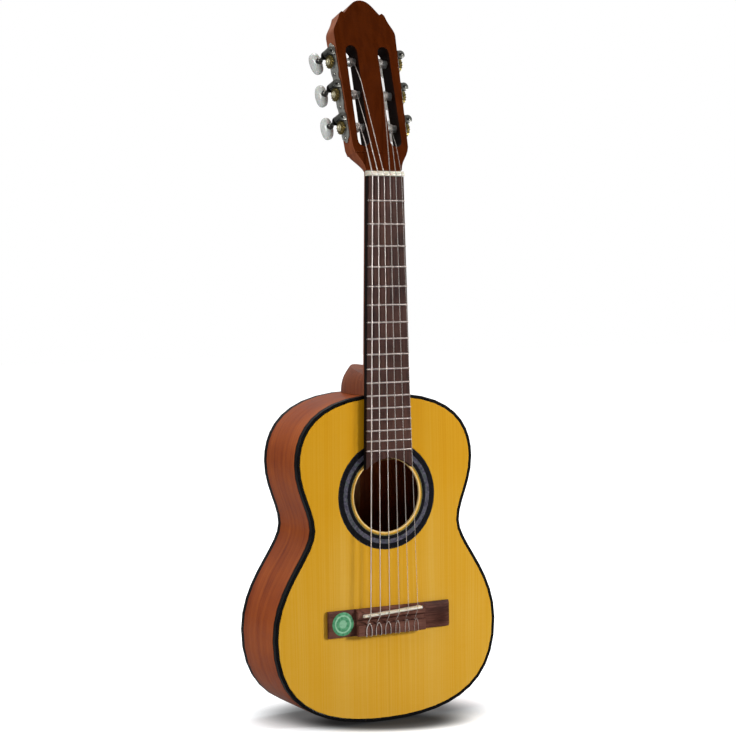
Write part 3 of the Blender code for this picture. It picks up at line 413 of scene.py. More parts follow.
def metal(name, dark, light, gloss, brushed=(2.0, 2.0, 0.12), tarnish=None, metallic=1.0):
    """Bare or plated metal with fine brushing; tarnish is the colour of its dull patches."""
    mat, tree, bsdf = shader(name)
    place = millimetres(tree)
    brush = noise(tree, place, brushed, 4.0, 0.6)
    stain = noise(tree, place, 0.22, 4.0)
    colour = blend(tree, brush, srgb(*dark), srgb(*light))
    if tarnish:
        colour = blend(tree, level(tree, stain, 0.50, 0.72, 0.0, 0.75), colour, srgb(*tarnish))
    connect(
        tree, bsdf, Base_Color=colour, Metallic=metallic,
        Roughness=level(tree, stain, 0.3, 0.7, gloss - 0.06, gloss + 0.10),
        Normal=bump(tree, brush, 0.015, 0.4),
    )
    return mat


def bone():
    """Ivory white with faint streaks and small pits."""
    mat, tree, bsdf = shader("bone_ivory")
    place = millimetres(tree)
    streak = noise(tree, place, (0.10, 0.8, 0.8), 4.0)
    pits = level(tree, noise(tree, place, 1.8, 2.0), 0.62, 0.72)
    colour = blend(tree, level(tree, streak, 0.35, 0.65), srgb(212, 204, 184), srgb(234, 227, 212))
    colour = blend(tree, times(tree, pits, 0.25), colour, srgb(190, 176, 142))
    connect(
        tree, bsdf, Base_Color=colour, Roughness=level(tree, streak, 0.3, 0.7, 0.28, 0.40),
        Normal=bump(tree, pits, 0.02, -0.4), Subsurface_Weight=0.12, Subsurface_Scale=0.001,
        Coat_Weight=0.2,
    )
    return mat


def pearloid():
    """Moulded plastic with swirling pearly flakes."""
    mat, tree, bsdf = shader("pearloid_swirl")
    place = millimetres(tree)
    swirl = noise(tree, place, 0.22, 3.0, 0.6, 2.4)
    flakes = node(tree, "TexVoronoi", {
        "Vector": vectors(tree, "MULTIPLY", place, (0.7, 0.7, 0.35)), "Scale": 1.0,
        "Randomness": 1.0,
    })
    flake = node(tree, "SeparateColor", {0: flakes.outputs["Color"]}).outputs[0]
    tone = plus(tree, times(tree, swirl, 0.75), times(tree, flake, 0.25))
    colour = ramp(tree, tone, [
        (0.25, srgb(208, 211, 204)), (0.50, srgb(232, 234, 228)), (0.75, srgb(250, 250, 247)),
    ])
    connect(
        tree, bsdf, Base_Color=colour, Roughness=level(tree, swirl, 0.3, 0.7, 0.16, 0.28),
        Coat_Weight=0.7, Coat_Roughness=0.05, Subsurface_Weight=0.10, Subsurface_Scale=0.002,
        Normal=bump(tree, swirl, 0.04, 0.2),
    )
    return mat


def wound():
    """Silver-plated wire wound on a core; the turns cross the string."""
    mat, tree, bsdf = shader("wound_silver")
    place = millimetres(tree)
    turns = node(tree, "TexWave", {"Vector": place, "Scale": 1.1, "Distortion": 0.0},
                 bands_direction="Z").outputs["Fac"]
    stain = noise(tree, place, (0.5, 0.5, 0.05), 3.0)
    colour = blend(tree, level(tree, stain, 0.35, 0.65), srgb(206, 192, 184), srgb(236, 226, 220))
    connect(
        tree, bsdf, Base_Color=colour, Metallic=0.55, Roughness=0.34,
        Normal=bump(tree, turns, 0.04, 0.5),
    )
    return mat


def nylon():
    """Milky monofilament: what lies behind shows faintly through."""
    mat, tree, bsdf = shader("clear_nylon")
    place = millimetres(tree)
    haze = noise(tree, place, (0.4, 0.4, 0.03), 3.0)
    colour = blend(tree, haze, srgb(196, 184, 176), srgb(232, 224, 216))
    connect(
        tree, bsdf, Base_Color=colour, Alpha=level(tree, haze, 0.3, 0.7, 0.24, 0.38),
        Roughness=level(tree, haze, 0.3, 0.7, 0.18, 0.30), Coat_Weight=0.3,
    )
    return mat


def rosette():
    """Inlaid rings: black fibre either side of a grey band with small coloured chips."""
    mat, tree, bsdf = shader("rosette_rings")
    place = millimetres(tree)
    radius = hole_distance(tree, place)
    chips = node(tree, "TexVoronoi", {"Vector": place, "Scale": 0.55, "Randomness": 0.9})
    hue = node(tree, "SeparateColor", {0: chips.outputs["Color"]}).outputs
    grey = ramp(tree, hue[0], [
        (0.0, srgb(56, 52, 68)), (0.25, srgb(76, 74, 88)), (0.5, srgb(92, 90, 98)),
        (0.72, srgb(70, 82, 74)), (0.90, srgb(104, 96, 116)),
    ], "CONSTANT")
    streak = noise(tree, place, 0.35, 3.0)
    grey = blend(tree, times(tree, streak, 0.7), grey, srgb(78, 77, 88))
    black = blend(tree, streak, srgb(4, 4, 8), srgb(14, 13, 20))
    colour = blend(tree, streak, srgb(120, 112, 66), srgb(150, 140, 84))
    for edge, beyond in ((41.3, black), (44.9, grey), (49.3, black), (54.3, srgb(44, 44, 46))):
        colour = blend(tree, level(tree, radius, edge - 0.15, edge + 0.15), colour, beyond)
    connect(
        tree, bsdf, Base_Color=colour, Roughness=level(tree, streak, 0.3, 0.7, 0.22, 0.34),
        Normal=bump(tree, streak, 0.02, 0.3), Coat_Weight=0.05, Coat_Roughness=0.12,
        Specular_IOR_Level=0.12,
    )
    return mat


def label_green():
    """A plain round label: green foil with one pale ring and a pale middle."""
    mat, tree, bsdf = shader("green_label")
    place = millimetres(tree)
    radius = across_distance(tree, place, *LABEL_CENTRE)
    foil = noise(tree, place, 0.35, 4.0)
    base = blend(tree, level(tree, foil, 0.3, 0.7), srgb(62, 138, 92), srgb(92, 166, 120))
    ring = calc(tree, "SUBTRACT", level(tree, radius, 7.4, 7.8), level(tree, radius, 9.0, 9.4))
    disc = level(tree, radius, 3.9, 4.4, 1.0, 0.0)
    pale = calc(tree, "MAXIMUM", ring, times(tree, disc, 0.75))
    colour = blend(tree, times(tree, pale, 0.62), base, srgb(176, 224, 188))
    connect(
        tree, bsdf, Base_Color=colour, Roughness=level(tree, foil, 0.3, 0.7, 0.22, 0.36),
        Normal=bump(tree, foil, 0.02, 0.3), Coat_Weight=0.3, Metallic=0.1,
    )
    return mat


# ---------------------------------------------------------------- shapes

def linked(name, data):
    obj = bpy.data.objects.new(name, data)
    bpy.context.scene.collection.objects.link(obj)
    return obj


def mesh_of(name, bm):
    mesh = bpy.data.meshes.new(name)
    bm.to_mesh(mesh)
    bm.free()
    return mesh


def mesh_piece(name, points, faces, mat, body="root", slot=None, angle=35.0):
    """A smooth-shaded mesh from frame coordinates, riding on a body."""
    bm = bmesh.new()
    verts = [bm.verts.new(p) for p in points]
    for face in faces:
        bm.faces.new([verts[i] for i in face])
    bmesh.ops.recalc_face_normals(bm, faces=bm.faces)
    mesh = mesh_of(name, bm)
    mesh.shade_smooth()
    mesh.set_sharp_from_angle(angle=radians(angle))
    mesh.materials.append(mat)
    obj = linked(name, mesh)
    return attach(obj, body)


def rings_mesh(rings, wrap=False):
    """Faces between rings of equal length, each a closed loop, with the ends closed or joined."""
    count = len(rings[0])
    points = [p for ring in rings for p in ring]
    faces = []
    pairs = list(range(len(rings) - 1)) + ([len(rings) - 1] if wrap else [])
    for k in pairs:
        a, b = k * count, ((k + 1) % len(rings)) * count
        for i in range(count):
            j = (i + 1) % count
            faces.append((a + i, a + j, b + j, b + i))
    if not wrap:
        faces.append(tuple(range(count)))
        faces.append(tuple(range((len(rings) - 1) * count, len(rings) * count)))
    return points, faces


def lathe(centre, axis, profile, steps=32):
    """Rings of a turned shape: profile pairs are (radius, distance along the axis) in mm."""
    axis = axis.normalized()
    side = axis.orthogonal().normalized()
    other = axis.cross(side)
    turns = [2 * pi * i / steps for i in range(steps)]
    return [
        [centre + (axis * d + (side * cos(a) + other * sin(a)) * r) * MM for a in turns]
        for r, d in profile
    ]


def smoothed(points, steps=6):
    """A Catmull-Rom path through points."""
    padded = [points[0] * 2 - points[1]] + points + [points[-1] * 2 - points[-2]]
    path = []
    for a, b, c, d in zip(padded, padded[1:], padded[2:], padded[3:]):
        for i in range(steps):
            t = i / steps
            path.append(0.5 * (
                2 * b + (c - a) * t + (2 * a - 5 * b + 4 * c - d) * t * t
                + (3 * b - a - 3 * c + d) * t ** 3
            ))
    return path + [points[-1]]


def tube(path, radius, sides=10):
    """Rings carried along a path without twisting."""
    directions = []
    for k in range(len(path)):
        a, b = path[max(k - 1, 0)], path[min(k + 1, len(path) - 1)]
        directions.append((b - a).normalized())
    across = directions[0].orthogonal().normalized()
    rings = []
    for k, (point, direction) in enumerate(zip(path, directions)):
        across = (across - direction * across.dot(direction)).normalized()
        other = direction.cross(across)
        size = radius * MM * (0.7 if k in (0, len(path) - 1) else 1.0)
        rings.append([
            point + (across * cos(2 * pi * i / sides) + other * sin(2 * pi * i / sides)) * size
            for i in range(sides)
        ])
    return rings


def joined(parts):
    """One list of points and faces from several."""
    points, faces = [], []
    for more_points, more_faces in parts:
        start = len(points)
        points += more_points
        faces += [tuple(start + i for i in face) for face in more_faces]
    return points, faces


def slab(outline, place, low, high, rim=0.25):
    """An extruded outline with rounded rims; place maps (a, b, level) into the frame."""
    count = len(outline)
    signed = sum(a[0] * b[1] - b[0] * a[1] for a, b in zip(outline, outline[1:] + outline[:1]))
    turn = 1 if signed > 0 else -1

    def shrunk(inset):
        loop = []
        for i in range(count):
            before, here, after = outline[i - 1], outline[i], outline[(i + 1) % count]
            dx, dy = after[0] - before[0], after[1] - before[1]
            share = turn * inset / (hypot(dx, dy) or 1.0)
            loop.append((here[0] - share * dy, here[1] + share * dx))
        return loop

    rise = rim if high > low else -rim
    levels = [
        (rim, low), (rim * 0.3, low + rise * 0.3), (0.0, low + rise), (0.0, high - rise),
        (rim * 0.3, high - rise * 0.3), (rim, high),
    ]
    return rings_mesh([[place(a, b, c) for a, b in shrunk(inset)] for inset, c in levels])


# ---------------------------------------------------------------- CAD nodes that stay

def smoothing_group():
    """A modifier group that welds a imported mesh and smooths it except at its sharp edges."""
    group = bpy.data.node_groups.new("weld_and_smooth", "GeometryNodeTree")
    group.interface.new_socket("Mesh", in_out="INPUT", socket_type="NodeSocketGeometry")
    group.interface.new_socket("Mesh", in_out="OUTPUT", socket_type="NodeSocketGeometry")
    make, link = group.nodes.new, group.links.new
    start, end = make("NodeGroupInput"), make("NodeGroupOutput")
    clear = make("GeometryNodeRemoveAttribute")
    clear.inputs["Name"].default_value = "custom_normal"
    weld = make("GeometryNodeMergeByDistance")
    weld.inputs["Distance"].default_value = 0.03 * MM
    angle = make("GeometryNodeInputMeshEdgeAngle")
    flat_enough = make("FunctionNodeCompare")
    flat_enough.operation = "LESS_THAN"
    flat_enough.inputs[1].default_value = radians(32.0)
    faces = make("GeometryNodeSetShadeSmooth")
    edges = make("GeometryNodeSetShadeSmooth")
    edges.domain = "EDGE"
    link(start.outputs[0], clear.inputs[0])
    link(clear.outputs[0], weld.inputs[0])
    link(weld.outputs[0], faces.inputs[0])
    link(faces.outputs[0], edges.inputs[0])
    link(angle.outputs["Unsigned Angle"], flat_enough.inputs[0])
    link(flat_enough.outputs[0], edges.inputs["Shade Smooth"])
    link(edges.outputs[0], end.inputs[0])
    return group


SMOOTHING = smoothing_group()


def dress(name, mat, rim=0.3, segments=2):
    """Gives a CAD node its material, soft edges and smooth shading, all as modifiers."""
    obj = NODES[name]
    for slot in obj.material_slots:
        slot.material = mat
    smooth = obj.modifiers.new("weld_and_smooth", "NODES")
    smooth.node_group = SMOOTHING
    if rim:
        bevel = obj.modifiers.new("soft_edges", "BEVEL")
        bevel.width = rim * MM
        bevel.segments = segments
        bevel.limit_method = "ANGLE"
        bevel.angle_limit = radians(40.0)
        bevel.harden_normals = True
        bevel.use_clamp_overlap = True
    return obj


# ---------------------------------------------------------------- pieces

def make_rosette(mat):
    """Rings with a fine groove between bands."""
    bands = ((40.6, 41.2), (41.4, 44.8), (45.0, 49.2), (49.4, 54.2), (54.4, 55.0))
    profile = [(bands[0][0], ROSETTE_DEPTH)]
    for inner, outer in bands:
        profile += [(inner, GROOVE), (inner + GROOVE, 0.0), (outer - GROOVE, 0.0), (outer, GROOVE)]
    profile += [(bands[-1][1], ROSETTE_DEPTH)]
    rings = lathe(at(0.0, 0.0, HOLE_Z), Vector((0.0, 1.0, 0.0)), profile, 128)
    obj = mesh_piece("rosette_inlay", *rings_mesh(rings, wrap=True), mat, slot="rosette")
    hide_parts("rosette")


def make_nut(mat):
    """A bar with a filed slot under each string, falling away towards the head."""
    edge, rounding = NUT_HALF - 0.1, 0.5
    slot = ((-1.6, 0.0), (-1.0, 0.25), (-0.6, 0.8), (0.0, 1.0), (0.6, 0.8), (1.0, 0.25), (1.6, 0.0))
    stations = [(-edge, 0.0, rounding), (-edge + rounding, 0.0, 0.0)]
    for number in range(6, 0, -1):
        centre, radius = string_x(number, NUT_Z), STRING_DIAMETERS[number - 1] / 2 + 0.08
        stations += [(centre + share * radius, depth, 0.0) for share, depth in slot]
    stations += [(edge - rounding, 0.0, 0.0), (edge, 0.0, rounding)]
    rings = []
    for x, depth, lowered in stations:
        crown = NUT_CROWN * (1.0 - (x / NUT_HALF) ** 2)
        top = -NUT_TOP - 0.25 - crown + depth * (0.12 + crown) + lowered
        z, rear = NUT_Z, NUT_Z + NUT_THICKNESS
        rings.append([at(x, y, h) for y, h in (
            (-GAP, z), (-4.0, z), (top + 0.5, z), (top + 0.15, z + 0.15), (top, z + 0.5),
            (top, z + 1.6), (top + 0.5, z + 3.0), (top + 1.3, z + 4.3), (-6.2, rear - 0.1),
            (-5.4, rear), (-GAP, rear),
        )])
    obj = mesh_piece("nut_slotted", *rings_mesh(rings), mat, slot="bone", angle=50.0)
    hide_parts("nut")


def make_strings(mats):
    """Each string from its tie block over saddle and nut to its roller, with its knot."""
    for number in range(1, 7):
        side = 1 if number in STRINGS_FROM_NUT[1] else -1
        place = STRINGS_FROM_NUT[side].index(number)
        radius = STRING_DIAMETERS[number - 1] / 2
        kind = "nylon" if number in NYLON_STRINGS else "wound"
        landing = LANDING - LANDING_STEP * place
        path = string_path(number, radius, side, place, landing)
        parts = [rings_mesh(tube(path, radius, 12)),
                 rings_mesh(tube(smoothed(knot_path(number, radius)), radius * 0.9))]
        obj = mesh_piece("string_%d_tied" % number, *joined(parts), mats[kind],
                         slot=STRING_SLOTS[kind], angle=60.0)
        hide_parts("string_%d" % number)
        make_winding(number, radius, landing, place, mats[kind], STRING_SLOTS[kind])


def string_path(number, radius, side, place, landing):
    """From the tie hole over saddle and nut, round the slot's edge and onto the roller."""
    x, x_nut = string_x(number, BRIDGE_Z), string_x(number, NUT_Z)
    saddle_z = SADDLE_MIDDLE_Z + SADDLE_SLANT * x
    top, nut = -SADDLE_TOP - radius, -NUT_TOP - radius
    bend_x, bend_z = STRING_BENDS[place]
    roller_z = FIRST_ROLLER + ROLLER_PITCH * place
    depth = ROLLER_DEPTH - ROLLER_RADIUS - GAP - radius
    return [
        at(x, TIE_HOLE_Y, BRIDGE_BOTTOM + 1.0), at(x, TIE_HOLE_Y, TROUGH_LOW + 0.4),
        at(x, TIE_HOLE_Y - 0.6, TROUGH_LOW + 1.4), at(x, top + 0.25, saddle_z - 1.3),
        at(x, top, saddle_z - 0.5), at(x, top, saddle_z + 0.6),
        at(x_nut, nut, NUT_Z + 0.2), at(x_nut, nut, NUT_Z + 1.6),
        head_point(side * bend_x, bend_z, 0.9),
        head_point(side * landing, roller_z - 2.0, -depth + 0.25),
        head_point(side * landing, roller_z, -depth),
    ]


def knot_path(number, radius):
    """The loop that ties a string: out of its hole, over the block, round itself and back down."""
    x = string_x(number, BRIDGE_Z)
    spread = 2.2 if number in NYLON_STRINGS else 3.0
    front, below = TIE_TOP_Y - radius, BRIDGE_BOTTOM - radius
    return [
        at(x, TIE_HOLE_Y, BRIDGE_BOTTOM + 0.6), at(x - 0.4 * spread, TIE_HOLE_Y - 1.0, below),
        at(x - spread, TIE_TOP_Y + 0.55, below), at(x - spread, front, BRIDGE_BOTTOM + 1.2),
        at(x - spread, front - 0.05, BRIDGE_BOTTOM + 6.5),
        at(x - 0.7 * spread, front - 0.1, TROUGH_LOW - 1.2),
        at(x, front + 0.1 - radius, TROUGH_LOW + 1.6),
        at(x + 0.7 * spread, front - 0.1, TROUGH_LOW - 1.2),
        at(x + spread, front - 0.05, BRIDGE_BOTTOM + 6.0),
        at(x + spread, front, BRIDGE_BOTTOM + 1.0), at(x + spread, TIE_TOP_Y + 0.75, below),
        at(x + 0.9 * spread, TIE_HOLE_Y + 0.6, below - radius * 0.4),
    ]


def make_winding(number, radius, landing, place, mat, slot):
    """Turns of string on the roller, from where it lands outwards to the string hole."""
    machine = Machine(number)
    reach = radius + ROLLER_RADIUS + 0.04
    start = landing - HEAD_FLANK - ROLLER_PITCH * place * HEAD_FLARE
    turns, pitch = (4.75 if number in NYLON_STRINGS else 4.25), 2 * radius + 0.06
    steps = 18
    path = []
    for i in range(int(turns * steps) + 1):
        angle = 2 * pi * i / steps
        depth = ROLLER_DEPTH - reach * cos(angle)
        path.append(machine.point(start + pitch * i / steps, depth, reach * sin(angle)))
    rings = rings_mesh(tube(path, radius, 8))
    mesh_piece("winding_%d" % number, *rings, mat, "spindle_%d" % number, slot, 60.0)


def make_key(number, mats):
    """A threaded worm shaft with a collar, and the pearly button pressed on its end."""
    machine = Machine(number)
    body = "key_%d" % number
    worm = mesh_piece("worm_%d" % number, *rings_mesh(worm_rings(machine)), mats["dark_steel"],
                      body, "plated_steel", 45.0)
    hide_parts(body)
    button = mesh_piece("button_%d" % number, *rings_mesh(button_rings(machine, number)),
                        mats["pearl"], body, "pearloid", 60.0)
    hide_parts(body)


def worm_rings(machine, columns=24, rows_per_turn=10):
    """Rings along the shaft: its plain end, the thread, then journal, collar and button seat."""
    centre = machine.point(GEAR_OUT, 0.0, WORM_CENTRES)
    down, left = -machine.up, -machine.out * machine.side
    angles = [2 * pi * i / columns for i in range(columns)]
    before = ((0.0, 0.5), (1.2, 0.5), (1.75, 0.9), (1.8, 3.2), (1.95, 3.5))
    after = ((1.95, 15.5), (1.8, 15.8), (1.8, 20.0), (2.6, 20.4), (2.6, 21.4), (1.9, 21.8),
             (1.8, 27.0), (2.9, 28.0), (3.4, 29.8), (3.4, 34.0), (0.0, 34.2))
    rings = [[(radius, depth, a) for a in angles] for radius, depth in before]
    first = ROLLER_DEPTH - THREAD_TURNS * LEAD - 0.2
    last = ROLLER_DEPTH + THREAD_TURNS * LEAD + 0.2
    count = int((last - first) / LEAD * rows_per_turn)
    for k in range(count + 1):
        depth = first + (last - first) * k / count
        fade = min(1.0, (depth - first) / THREAD_FADE, (last - depth) / THREAD_FADE)
        rings.append([(thread_radius(depth, a, fade), depth, a) for a in angles])
    rings += [[(radius, depth, a) for a in angles] for radius, depth in after]
    return [
        [centre + (machine.back * d + (down * cos(a) + left * sin(a)) * r) * MM for r, d, a in ring]
        for ring in rings
    ]


def thread_radius(depth, angle, fade):
    """The worm's radius on its one flat-topped ridge or between its turns."""
    phase = ((depth - ROLLER_DEPTH) / LEAD - angle / (2 * pi) - 0.5) % 1.0
    off_ridge = abs(phase - (1.0 if phase > 0.5 else 0.0))
    ridge = max(0.0, 1.0 - off_ridge * THREAD_STEEPNESS)
    return THREAD_ROOT + fade * THREAD_HEIGHT * min(1.0, ridge * THREAD_FLAT)


def button_rings(machine, number, rows=24, columns=32):
    """An oval button, fuller than an ellipsoid, standing at the angle it was left at."""
    half_long, half_thick, half_deep = BUTTON_HALVES
    middle = machine.point(GEAR_OUT, BUTTON_DEPTH, WORM_CENTRES)
    turn = Matrix.Rotation(radians(BUTTON_TURNS[number]), 3, machine.back)
    long_way, thick_way = turn @ machine.up, turn @ machine.out
    rings = []
    for k in range(1, rows):
        polar = pi * k / rows
        along, size = cos(polar), sin(polar) ** BUTTON_FULLNESS
        rings.append([
            middle + (
                long_way * half_long * along
                + thick_way * half_thick * size * cos(2 * pi * i / columns)
                + machine.back * half_deep * size * sin(2 * pi * i / columns)
            ) * MM for i in range(columns)
        ])
    return rings


def make_gear_screw(number, mats):
    """Washer and slotted dome screw that hold the gear on its roller."""
    machine = Machine(number)
    centre = machine.point(GEAR_OUT, ROLLER_DEPTH, 0.0)
    profile = [
        (0.0, -1.2), (3.4, -1.2), (3.4, 1.75), (3.1, 1.95), (2.7, 1.95), (2.7, 2.2),
        (2.5, 2.9), (2.0, 3.4), (1.2, 3.75), (0.0, 3.85),
    ]
    rings = lathe(centre, machine.out, profile, 28)
    # the screw's brass is painted nearly white: partly its own colour, partly a painted highlight
    obj = mesh_piece("gear_screw_%d" % number, *rings_mesh(rings), mats["highlight_brass"],
                     "spindle_%d" % number, "brass", 40.0)
    cut_slot(obj, centre + machine.out * 3.6 * MM, machine.out, machine.up, 6.0, 0.55, 0.7)


def cut_slot(obj, centre, axis, along, length, width, depth):
    """Cuts a screwdriver slot into a dome with a box that is thrown away afterwards."""
    across = axis.cross(along)
    bm = bmesh.new()
    bmesh.ops.create_cube(bm, size=1.0)
    basis = Matrix((along * length * MM, across * width * MM, axis * 2 * depth * MM)).transposed()
    for vert in bm.verts:
        vert.co = basis @ vert.co + centre
    tool = linked("slot_tool", mesh_of("slot_tool", bm))
    cut = obj.modifiers.new("slot", "BOOLEAN")
    cut.operation, cut.solver, cut.object = "DIFFERENCE", "EXACT", tool
    bpy.context.view_layer.update()
    graph = bpy.context.evaluated_depsgraph_get()
    shaped = bpy.data.meshes.new_from_object(obj.evaluated_get(graph))
    obj.modifiers.clear()
    obj.data = shaped
    bpy.data.objects.remove(tool, do_unlink=True)


def make_plate(side, mats):
    """A side plate with shaped ends and waists, its worm brackets and its dome screws."""
    machine = Machine(STRINGS_FROM_NUT[side][0])
    half, middle = PLATE_HALF, ROLLER_DEPTH
    node_name = "tuner_plate_" + SIDES[side]

    def place(d, h, u):
        return machine.point(u, d, h)

    edge = [(0.0, -16.0), (2.2, -15.4), (3.2, -13.2), (5.2, -12.2), (7.0, -10.4), (half, -7.0)]
    for waist in (0.5 * ROLLER_PITCH, 1.5 * ROLLER_PITCH):
        edge += [(half, waist - 7.0), (half - 0.4, waist - 4.5), (half - 1.5, waist - 2.0),
                 (half - 1.9, waist + 0.8), (half - 1.4, waist + 3.4), (half - 0.3, waist + 5.6),
                 (half, waist + 7.5)]
    edge += [(half, 81.0), (7.0, 84.4), (5.2, 86.2), (3.2, 87.2), (2.2, 89.4), (0.0, 90.0)]
    outline = [(middle + d, h) for d, h in edge]
    outline += [(middle - d, h) for d, h in reversed(edge) if d > 0.0]
    for i in range(3):
        name = "worm_bracket_%s_%d" % (SIDES[side], i + 1)
        make_bracket(machine, ROLLER_PITCH * i + WORM_CENTRES, name, mats, node_name)
    obj = mesh_piece("plate_" + SIDES[side], *slab(outline, place, GAP, PLATE_TOP, 0.3),
                     mats["nickel"], slot="nickel")
    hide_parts(node_name)

    profile = [(0.0, -0.6), (2.3, -0.6), (2.3, 0.25), (2.1, 0.7), (1.5, 1.15), (0.8, 1.35),
               (0.0, 1.4)]
    for k, h in enumerate((-11.0, 22.0, 57.0, 84.0)):
        centre = machine.point(PLATE_TOP, middle, h)
        screw = mesh_piece("plate_screw_%s_%d" % (SIDES[side], k + 1),
                           *rings_mesh(lathe(centre, machine.out, profile, 24)),
                           mats["bright_nickel"], slot="nickel")
        turned = machine.up * cos(0.6 + k) + machine.back * sin(0.6 + k)
        cut_slot(screw, centre + machine.out * 1.35 * MM, machine.out, turned, 5.0, 0.5, 0.55)


def make_bracket(machine, worm, name, mats, node_name):
    """Two lugs hold the worm's ends under a hood: one plated, the outer near-black as painted
    shade.
    """
    reach = HOOD_RADIUS
    arc = [radians(95.0 - 12.5 * k) for k in range(15)]
    lug = [(1.2, worm - 3.6), (1.2, worm + 4.0)]
    lug += [(GEAR_OUT + reach * cos(a), worm + reach * sin(a)) for a in arc]
    sweep = [radians(-25.0 + 9.0 * k) for k in range(17)]
    inner, outer = reach - 0.4, reach + 0.5
    hood = [(GEAR_OUT + outer * cos(a), worm + outer * sin(a)) for a in sweep]
    hood += [(GEAR_OUT + inner * cos(a), worm + inner * sin(a)) for a in reversed(sweep)]

    def place(u, h, d):
        return machine.point(u, d, h)

    plated = [slab(lug, place, 1.5, 3.1, 0.3), slab(hood, place, 1.9, 12.0, 0.15)]
    # painted shade: the outer lug and the hood's outer part are coloured near-black
    black = [slab(lug, place, 15.9, 17.5, 0.3), slab(hood, place, 12.1, 17.1, 0.15)]
    for parts, ending, mat in ((plated, "hood", "hood_steel"), (black, "lug", "painted_shade_steel")):
        obj = mesh_piece("%s_%s" % (name, ending), *joined(parts), mats[mat], slot="nickel")
        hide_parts(node_name)


def make_label(mat):
    """A thin domed disc stuck on the bridge's bass wing."""
    x, z = LABEL_CENTRE
    profile = [(0.0, 0.02), (11.6, 0.02), (11.9, -0.05), (11.9, -0.16), (11.6, -0.24), (6.0, -0.27),
               (0.0, -0.28)]
    rings = lathe(at(x, WING_Y, z), Vector((0.0, 1.0, 0.0)), profile, 64)
    mesh_piece("round_label", *rings_mesh(rings), mat)


# ---------------------------------------------------------------- floor, light and camera

def world_light():
    """White for the camera; for light and reflections a studio, bright above and dark ahead."""
    world = bpy.data.worlds.new("studio")
    bpy.context.scene.world = world
    world.use_nodes = True
    tree = world.node_tree
    seen = tree.nodes["Background"]
    seen.inputs["Color"].default_value = WHITE
    seen.inputs["Strength"].default_value = 1.0
    _, y, z = axes(tree, node(tree, "TexCoord").outputs["Generated"])
    rise = level(tree, z, 0.05, 0.9, 0.16, 0.65)
    ahead = level(tree, y, -0.75, -0.1, 0.12, 1.0)
    soft = node(tree, "Background", {"Color": WHITE, "Strength": times(tree, rise, ahead)})
    camera = node(tree, "LightPath").outputs["Is Camera Ray"]
    mixed = node(tree, "MixShader", {0: camera, 1: soft.outputs[0], 2: seen.outputs[0]})
    tree.links.new(mixed.outputs[0], tree.nodes["World Output"].inputs["Surface"])


def area_light(name, place, target, size, power):
    data = bpy.data.lights.new(name, "AREA")
    data.shape = "DISK"
    data.size = size
    data.energy = power
    lamp = linked(name, data)
    lamp.location = place
    lamp.rotation_euler = (Vector(target) - Vector(place)).to_track_quat("-Z", "Y").to_euler()


def painted_contact_shadow(tree, place, centre, wide, deep, darkness):
    """The light a painted shadow leaves: an ellipse across the view, least inside, all at its rim.
    """
    moved = vectors(tree, "ADD", place, (-centre[0], -centre[1], 0.0))
    turn = radians(CAMERA_TURN)
    across = measured(tree, "DOT_PRODUCT", moved, (cos(turn) / wide, sin(turn) / wide, 0.0))
    away = measured(tree, "DOT_PRODUCT", moved, (-sin(turn) / deep, cos(turn) / deep, 0.0))
    flat = node(tree, "CombineXYZ", {0: across, 1: away}).outputs[0]
    radius = measured(tree, "LENGTH", flat)
    fade = node(tree, "MapRange", {0: radius, 1: 1.0, 2: 0.5}, interpolation_type="SMOOTHSTEP")
    return calc(tree, "SUBTRACT", 1.0, times(tree, fade.outputs[0], darkness))


def make_floor():
    """A wide pale floor, faintly mottled, that fades into the white of the studio."""
    mat, tree, bsdf = shader("pale_floor")
    place = millimetres(tree)
    mottle = noise(tree, place, 0.01, 4.0)
    colour = blend(tree, mottle, (0.83, 0.86, 0.88, 1.0), (0.87, 0.90, 0.92, 1.0))
    # painted shadow: two ellipses darken the floor around the tail, for the camera only
    clear = times(tree, painted_contact_shadow(tree, place, *BROAD_PAINTED_SHADOW),
                  painted_contact_shadow(tree, place, *CLOSE_PAINTED_SHADOW))
    rays = node(tree, "LightPath").outputs
    seen, mirrored_ray = rays["Is Camera Ray"], rays["Is Glossy Ray"]
    far = level(tree, measured(tree, "LENGTH", place), *GLOW_RANGE, *GLOW_LEVELS)
    unseen = calc(tree, "SUBTRACT", FLOOR_BOUNCE, times(tree, mirrored_ray, FLOOR_MIRRORED))
    shade = node(tree, "Mix", {0: seen, 2: unseen, 3: clear}, data_type="FLOAT").outputs[0]
    grey = node(tree, "CombineXYZ", {0: shade, 1: shade, 2: shade}).outputs[0]
    connect(
        tree, bsdf, Base_Color=blend(tree, 1.0, colour, grey, "MULTIPLY"), Roughness=0.9,
        Specular_IOR_Level=0.1, Emission_Color=WHITE,
        Emission_Strength=times(tree, far, times(tree, seen, clear)),
        Normal=bump(tree, mottle, 0.2, 0.1),
    )
    bm = bmesh.new()
    bmesh.ops.create_grid(bm, x_segments=8, y_segments=8, size=FLOOR_SIZE)
    mesh = mesh_of("floor", bm)
    mesh.materials.append(mat)
    floor = linked("floor", mesh)
    floor.location = (0.0, 0.0, -FLOOR_DROP)


